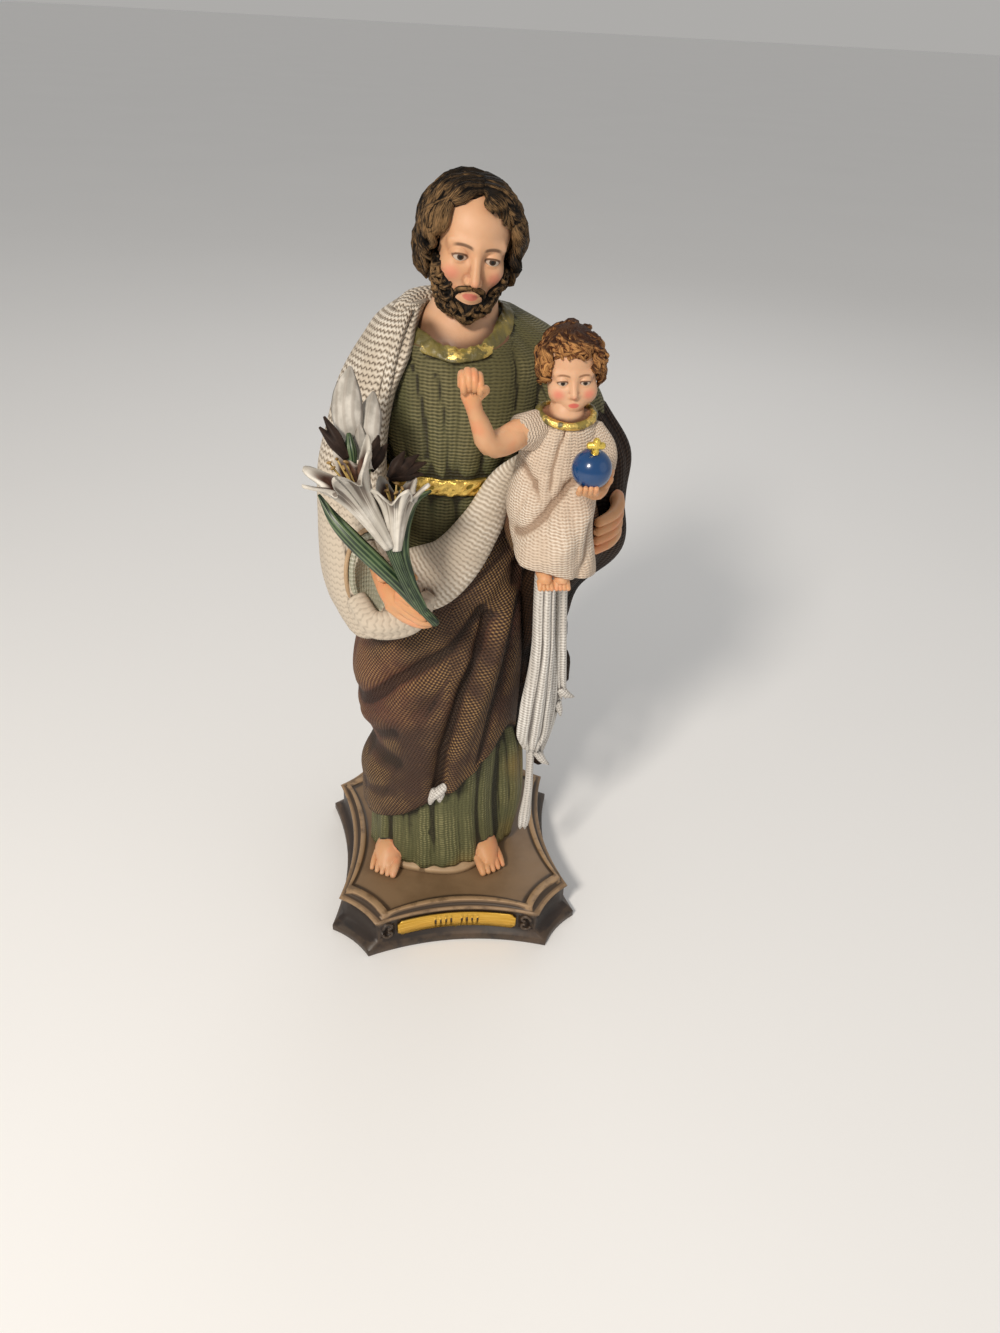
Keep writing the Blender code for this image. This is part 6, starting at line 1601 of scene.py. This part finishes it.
def make_paints():
    woven("tunic_green", (0.115, 0.103, 0.043), (0.018, 0.015, 0.007), (0.30, 0.255, 0.125),
          (1.5, 1.2, 0.78), 0.35,
          0.66, 0.50, 0.0003, patch=(0.080, 0.090, 0.038), stir=2.6)
    woven("skirt_green", (0.105, 0.105, 0.045), (0.018, 0.016, 0.008), (0.33, 0.30, 0.14),
          (1.5, 1.3, 0.5), 0.3,
          0.22, 0.60, 0.0003, patch=(0.24, 0.155, 0.045), stir=4.0)
    woven("wrap_brown", (0.066, 0.033, 0.020), (0.007, 0.004, 0.003), (0.45, 0.27, 0.10),
          (1.15, 1.1, 0.5), 0.4,
          0.80, 0.72, 0.0005, patch=(0.16, 0.058, 0.034), stir=2.6, lean=0.45, hollow_wash_and_shade=0.72)
    woven("cloak_brown", (0.022, 0.011, 0.006), (0.004, 0.002, 0.001), (0.10, 0.05, 0.022),
          (1.5, 1.5, 0.5), 0.4,
          0.60, 0.35, 0.0004, gloss=0.12)
    woven("mantle_white", (0.58, 0.50, 0.40), (0.085, 0.058, 0.038), (0.80, 0.745, 0.66),
          (1.6, 2.3, 0.80), 0.95,
          0.85, 0.90, 0.0005, stir=2.0, fade=(0.185, 0.225))
    woven("band_cream", (0.60, 0.515, 0.41), (0.16, 0.105, 0.07), (0.80, 0.735, 0.64), (1.7, 1.7, 0.84),
          0.5,
          0.45, 0.85, 0.0004, stir=2.4)
    woven("fall_white", (0.60, 0.565, 0.52), (0.085, 0.07, 0.06), (0.86, 0.84, 0.80), (1.5, 1.3, 0.5),
          0.3,
          0.50, 0.90, 0.0003, stir=2.6)
    woven("child_cream", (0.64, 0.515, 0.40), (0.25, 0.145, 0.085), (0.84, 0.76, 0.655),
          (1.3, 1.0, 0.72), 0.8,
          0.50, 0.90, 0.0003, stir=5.5, hollow_wash_and_shade=0.7)
    woven("sleeve_green", (0.36, 0.36, 0.27), (0.08, 0.07, 0.04), (0.68, 0.66, 0.56), (1.8, 1.6, 0.6),
          0.4,
          0.30, 0.70, 0.0003, hollow_wash_and_shade=0.3)
    skin_paint("skin_joseph", head_place(*JOSEPH_HEAD), neckline=(NECKLINE, 4.2))
    skin_paint("skin_child", head_place(*CHILD_HEAD), 0.05, (0.20, 0.09, 0.04), (0.66, 0.12, 0.10), 0.75,
               (CHILD_NECKLINE, 2.4), (0.63, 0.36, 0.21))
    skin_paint("skin", base=(0.62, 0.315, 0.145))
    hair_paint("hair_joseph", (0.0035, 0.0025, 0.002), (0.011, 0.007, 0.004), (0.32, 0.185, 0.08), 0.75)
    hair_paint("hair_child", (0.030, 0.011, 0.006), (0.19, 0.066, 0.022), (0.58, 0.29, 0.10), 0.85)
    gold_paint("gold_leaf")
    gold_paint("cross_gold", (0.90, 0.66, 0.14), (0.80, 0.52, 0.08))
    collar_paint()
    plain_paint("orb_blue", (0.001, 0.034, 0.125), (0.001, 0.010, 0.04), (0.002, 0.052, 0.175), 0.24,
                90.0, 0.5)
    plain_paint("ground_tan", (0.34, 0.22, 0.12), (0.10, 0.06, 0.03), (0.48, 0.33, 0.19), 0.55)
    petal_paint("petal_white", (0.56, 0.52, 0.45), (0.76, 0.72, 0.65), 0.22)
    petal_paint("petal_grey", (0.36, 0.335, 0.295), (0.60, 0.565, 0.51), 0.40)
    # Inside faces of the trumpets, darkening into the throat with wash and painted shade.
    petal_paint("throat_wash_and_shade", (0.50, 0.465, 0.405), (0.74, 0.705, 0.64), 0.30, True)
    # Near-black petals: painted shadow on the blooms that lie behind the open ones.
    plain_paint("bloom_shade", (0.009, 0.006, 0.005), (0.003, 0.002, 0.002), (0.050, 0.030, 0.022), 0.55,
                260.0,
                gloss=0.15)
    plain_paint("stamen_gold", (0.45, 0.30, 0.08), (0.12, 0.07, 0.02), (0.62, 0.45, 0.16), 0.4)
    plain_paint("anther_dark", (0.12, 0.055, 0.02), (0.03, 0.015, 0.008), (0.38, 0.24, 0.08), 0.45)
    leaf_paint()
    base_paint()
    plate_paints()


# Finishing

# The share of the figure's triangles that is kept, for under 200,000 of them
KEPT_SHARE = 0.80
# Smoothing steps at which the depth of a hollow is read, with the size that counts there
CLOTH_STEPS = {1: 0.35, 9: 1.0, 36: 2.6}
PETAL_STEPS = {2: 0.35, 15: 1.0, 59: 2.6}
EDGE_STEPS = {2: 0.35, 7: 1.0}


def mark_hollows(thing, size, steps):
    """Stores how far each point lies in a hollow, about -1 to 1."""
    data = thing.data
    count = len(data.vertices)
    place = read(data.vertices, "co", 3)
    normal = read(data.vertices, "normal", 3)
    ends = read(data.edges, "vertices", 2, int)
    links = np.bincount(ends.ravel(), minlength=count)[:, None]
    smooth = place.copy()
    total = np.zeros(count)
    for turn in range(max(steps) + 1):
        spread = np.zeros_like(smooth)
        for axis in range(3):
            spread[:, axis] = np.bincount(ends[:, 0], smooth[ends[:, 1], axis], count)
            spread[:, axis] += np.bincount(ends[:, 1], smooth[ends[:, 0], axis], count)
        smooth = spread / np.maximum(links, 1)
        if turn in steps:
            depth = ((smooth - place) * normal).sum(axis=1) / (size * steps[turn])
            total += 0.45 * np.clip(depth, -1, 1)
    mark = data.attributes.get("hollow") or data.attributes.new("hollow", "FLOAT", "POINT")
    mark.data.foreach_set("value", total)


def grown(name, parts):
    """Unites parts drawn in units, scales them and sets them on the base."""
    made = united(name, parts)
    made.data.transform(Matrix.Translation((0, 0, FIGURE_LOW)) @ Matrix.Scale(UNIT, 4))
    return made


def lightened(thing, share):
    """Drops the slivers that the union leaves between the strands."""
    thing.data = changed(thing, "DECIMATE", ratio=share)
    thing.modifiers.clear()
    return thing


def keep_used(data):
    """Drops the finishes that no face of the mesh has."""
    index = read(data.polygons, "material_index", kind=int)
    used = np.unique(index)
    kept = [data.materials[int(i)] for i in used]
    data.materials.clear()
    for finish in kept:
        data.materials.append(finish)
    data.polygons.foreach_set("material_index", np.searchsorted(used, index))


def settle(thing, node, size, steps=EDGE_STEPS):
    keep_used(thing.data)
    thing.data.polygons.foreach_set("use_smooth", np.ones(len(thing.data.polygons), bool))
    thing.data.update()
    mark_hollows(thing, size, steps)
    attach(thing, "root")
    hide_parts(node)


def soft_light(name, at, size, power, colour=(1, 1, 1)):
    data = bpy.data.lights.new(name, "AREA")
    data.shape = "DISK"
    data.size = size
    data.energy = power
    data.color = colour
    light = bpy.data.objects.new(name, data)
    light.location = at
    light.rotation_euler = (Vector((0, 0, 0.15)) - Vector(at)).to_track_quat("-Z", "Y").to_euler()
    bpy.context.scene.collection.objects.link(light)


def build_stage():
    scene = bpy.context.scene
    shape = bmesh.new()
    bmesh.ops.create_grid(shape, x_segments=1, y_segments=1, size=30.0)
    data = bpy.data.meshes.new("floor")
    shape.to_mesh(data)
    shape.free()
    floor = bpy.data.objects.new("floor", data)
    scene.collection.objects.link(floor)
    paint = Paint("floor_pale", 0.75)
    paint.set("Base Color", paint.mix(paint.noise(3.0, 2.0), (0.88, 0.88, 0.88), (0.91, 0.91, 0.91)))
    data.materials.append(paint.material)
    world = bpy.data.worlds.new("studio")
    scene.world = world
    world.use_nodes = True
    world.node_tree.nodes["Background"].inputs[0].default_value = (1.0, 0.98, 0.95, 1.0)
    world.node_tree.nodes["Background"].inputs[1].default_value = 0.42
    soft_light("key", (-0.50, -0.80, 0.85), 0.20, 10.4, (1.0, 0.92, 0.82))
    soft_light("fill", (0.8, -0.5, 0.5), 0.8, 0.6)
    soft_light("rim", (0.3, 0.8, 0.8), 0.6, 1.0)
    eye = bpy.data.cameras.new("camera")
    camera = bpy.data.objects.new("camera", eye)
    scene.collection.objects.link(camera)
    ahead = Vector(CAMERA_AHEAD).normalized()
    up = Vector(CAMERA_UP)
    right = ahead.cross(up).normalized()
    up = right.cross(ahead)
    turn = Matrix((right, up, -ahead)).transposed().to_4x4()
    camera.matrix_world = Matrix.Translation(CAMERA_AT) @ turn
    eye.sensor_width = 36.0
    eye.lens = FOCAL_PIXELS / FRAME_HEIGHT * eye.sensor_width
    eye.clip_start = 0.01
    scene.camera = camera
    scene.view_settings.view_transform = "Standard"


def main():
    make_paints()
    figure = lightened(grown("statue_figure", robes() + joseph_head() + joseph_limbs() + child_body()),
                       KEPT_SHARE)
    settle(figure, "saint_joseph_and_child", 0.55 * MM, CLOTH_STEPS)
    spray = grown("lily_branch", lily_parts())
    settle(spray, "lily_spray", 0.4 * MM, PETAL_STEPS)
    settle(build_plinth(), "plinth", 0.5 * MM)
    settle(build_plate(), "name_plate", 0.3 * MM)
    build_stage()


main()
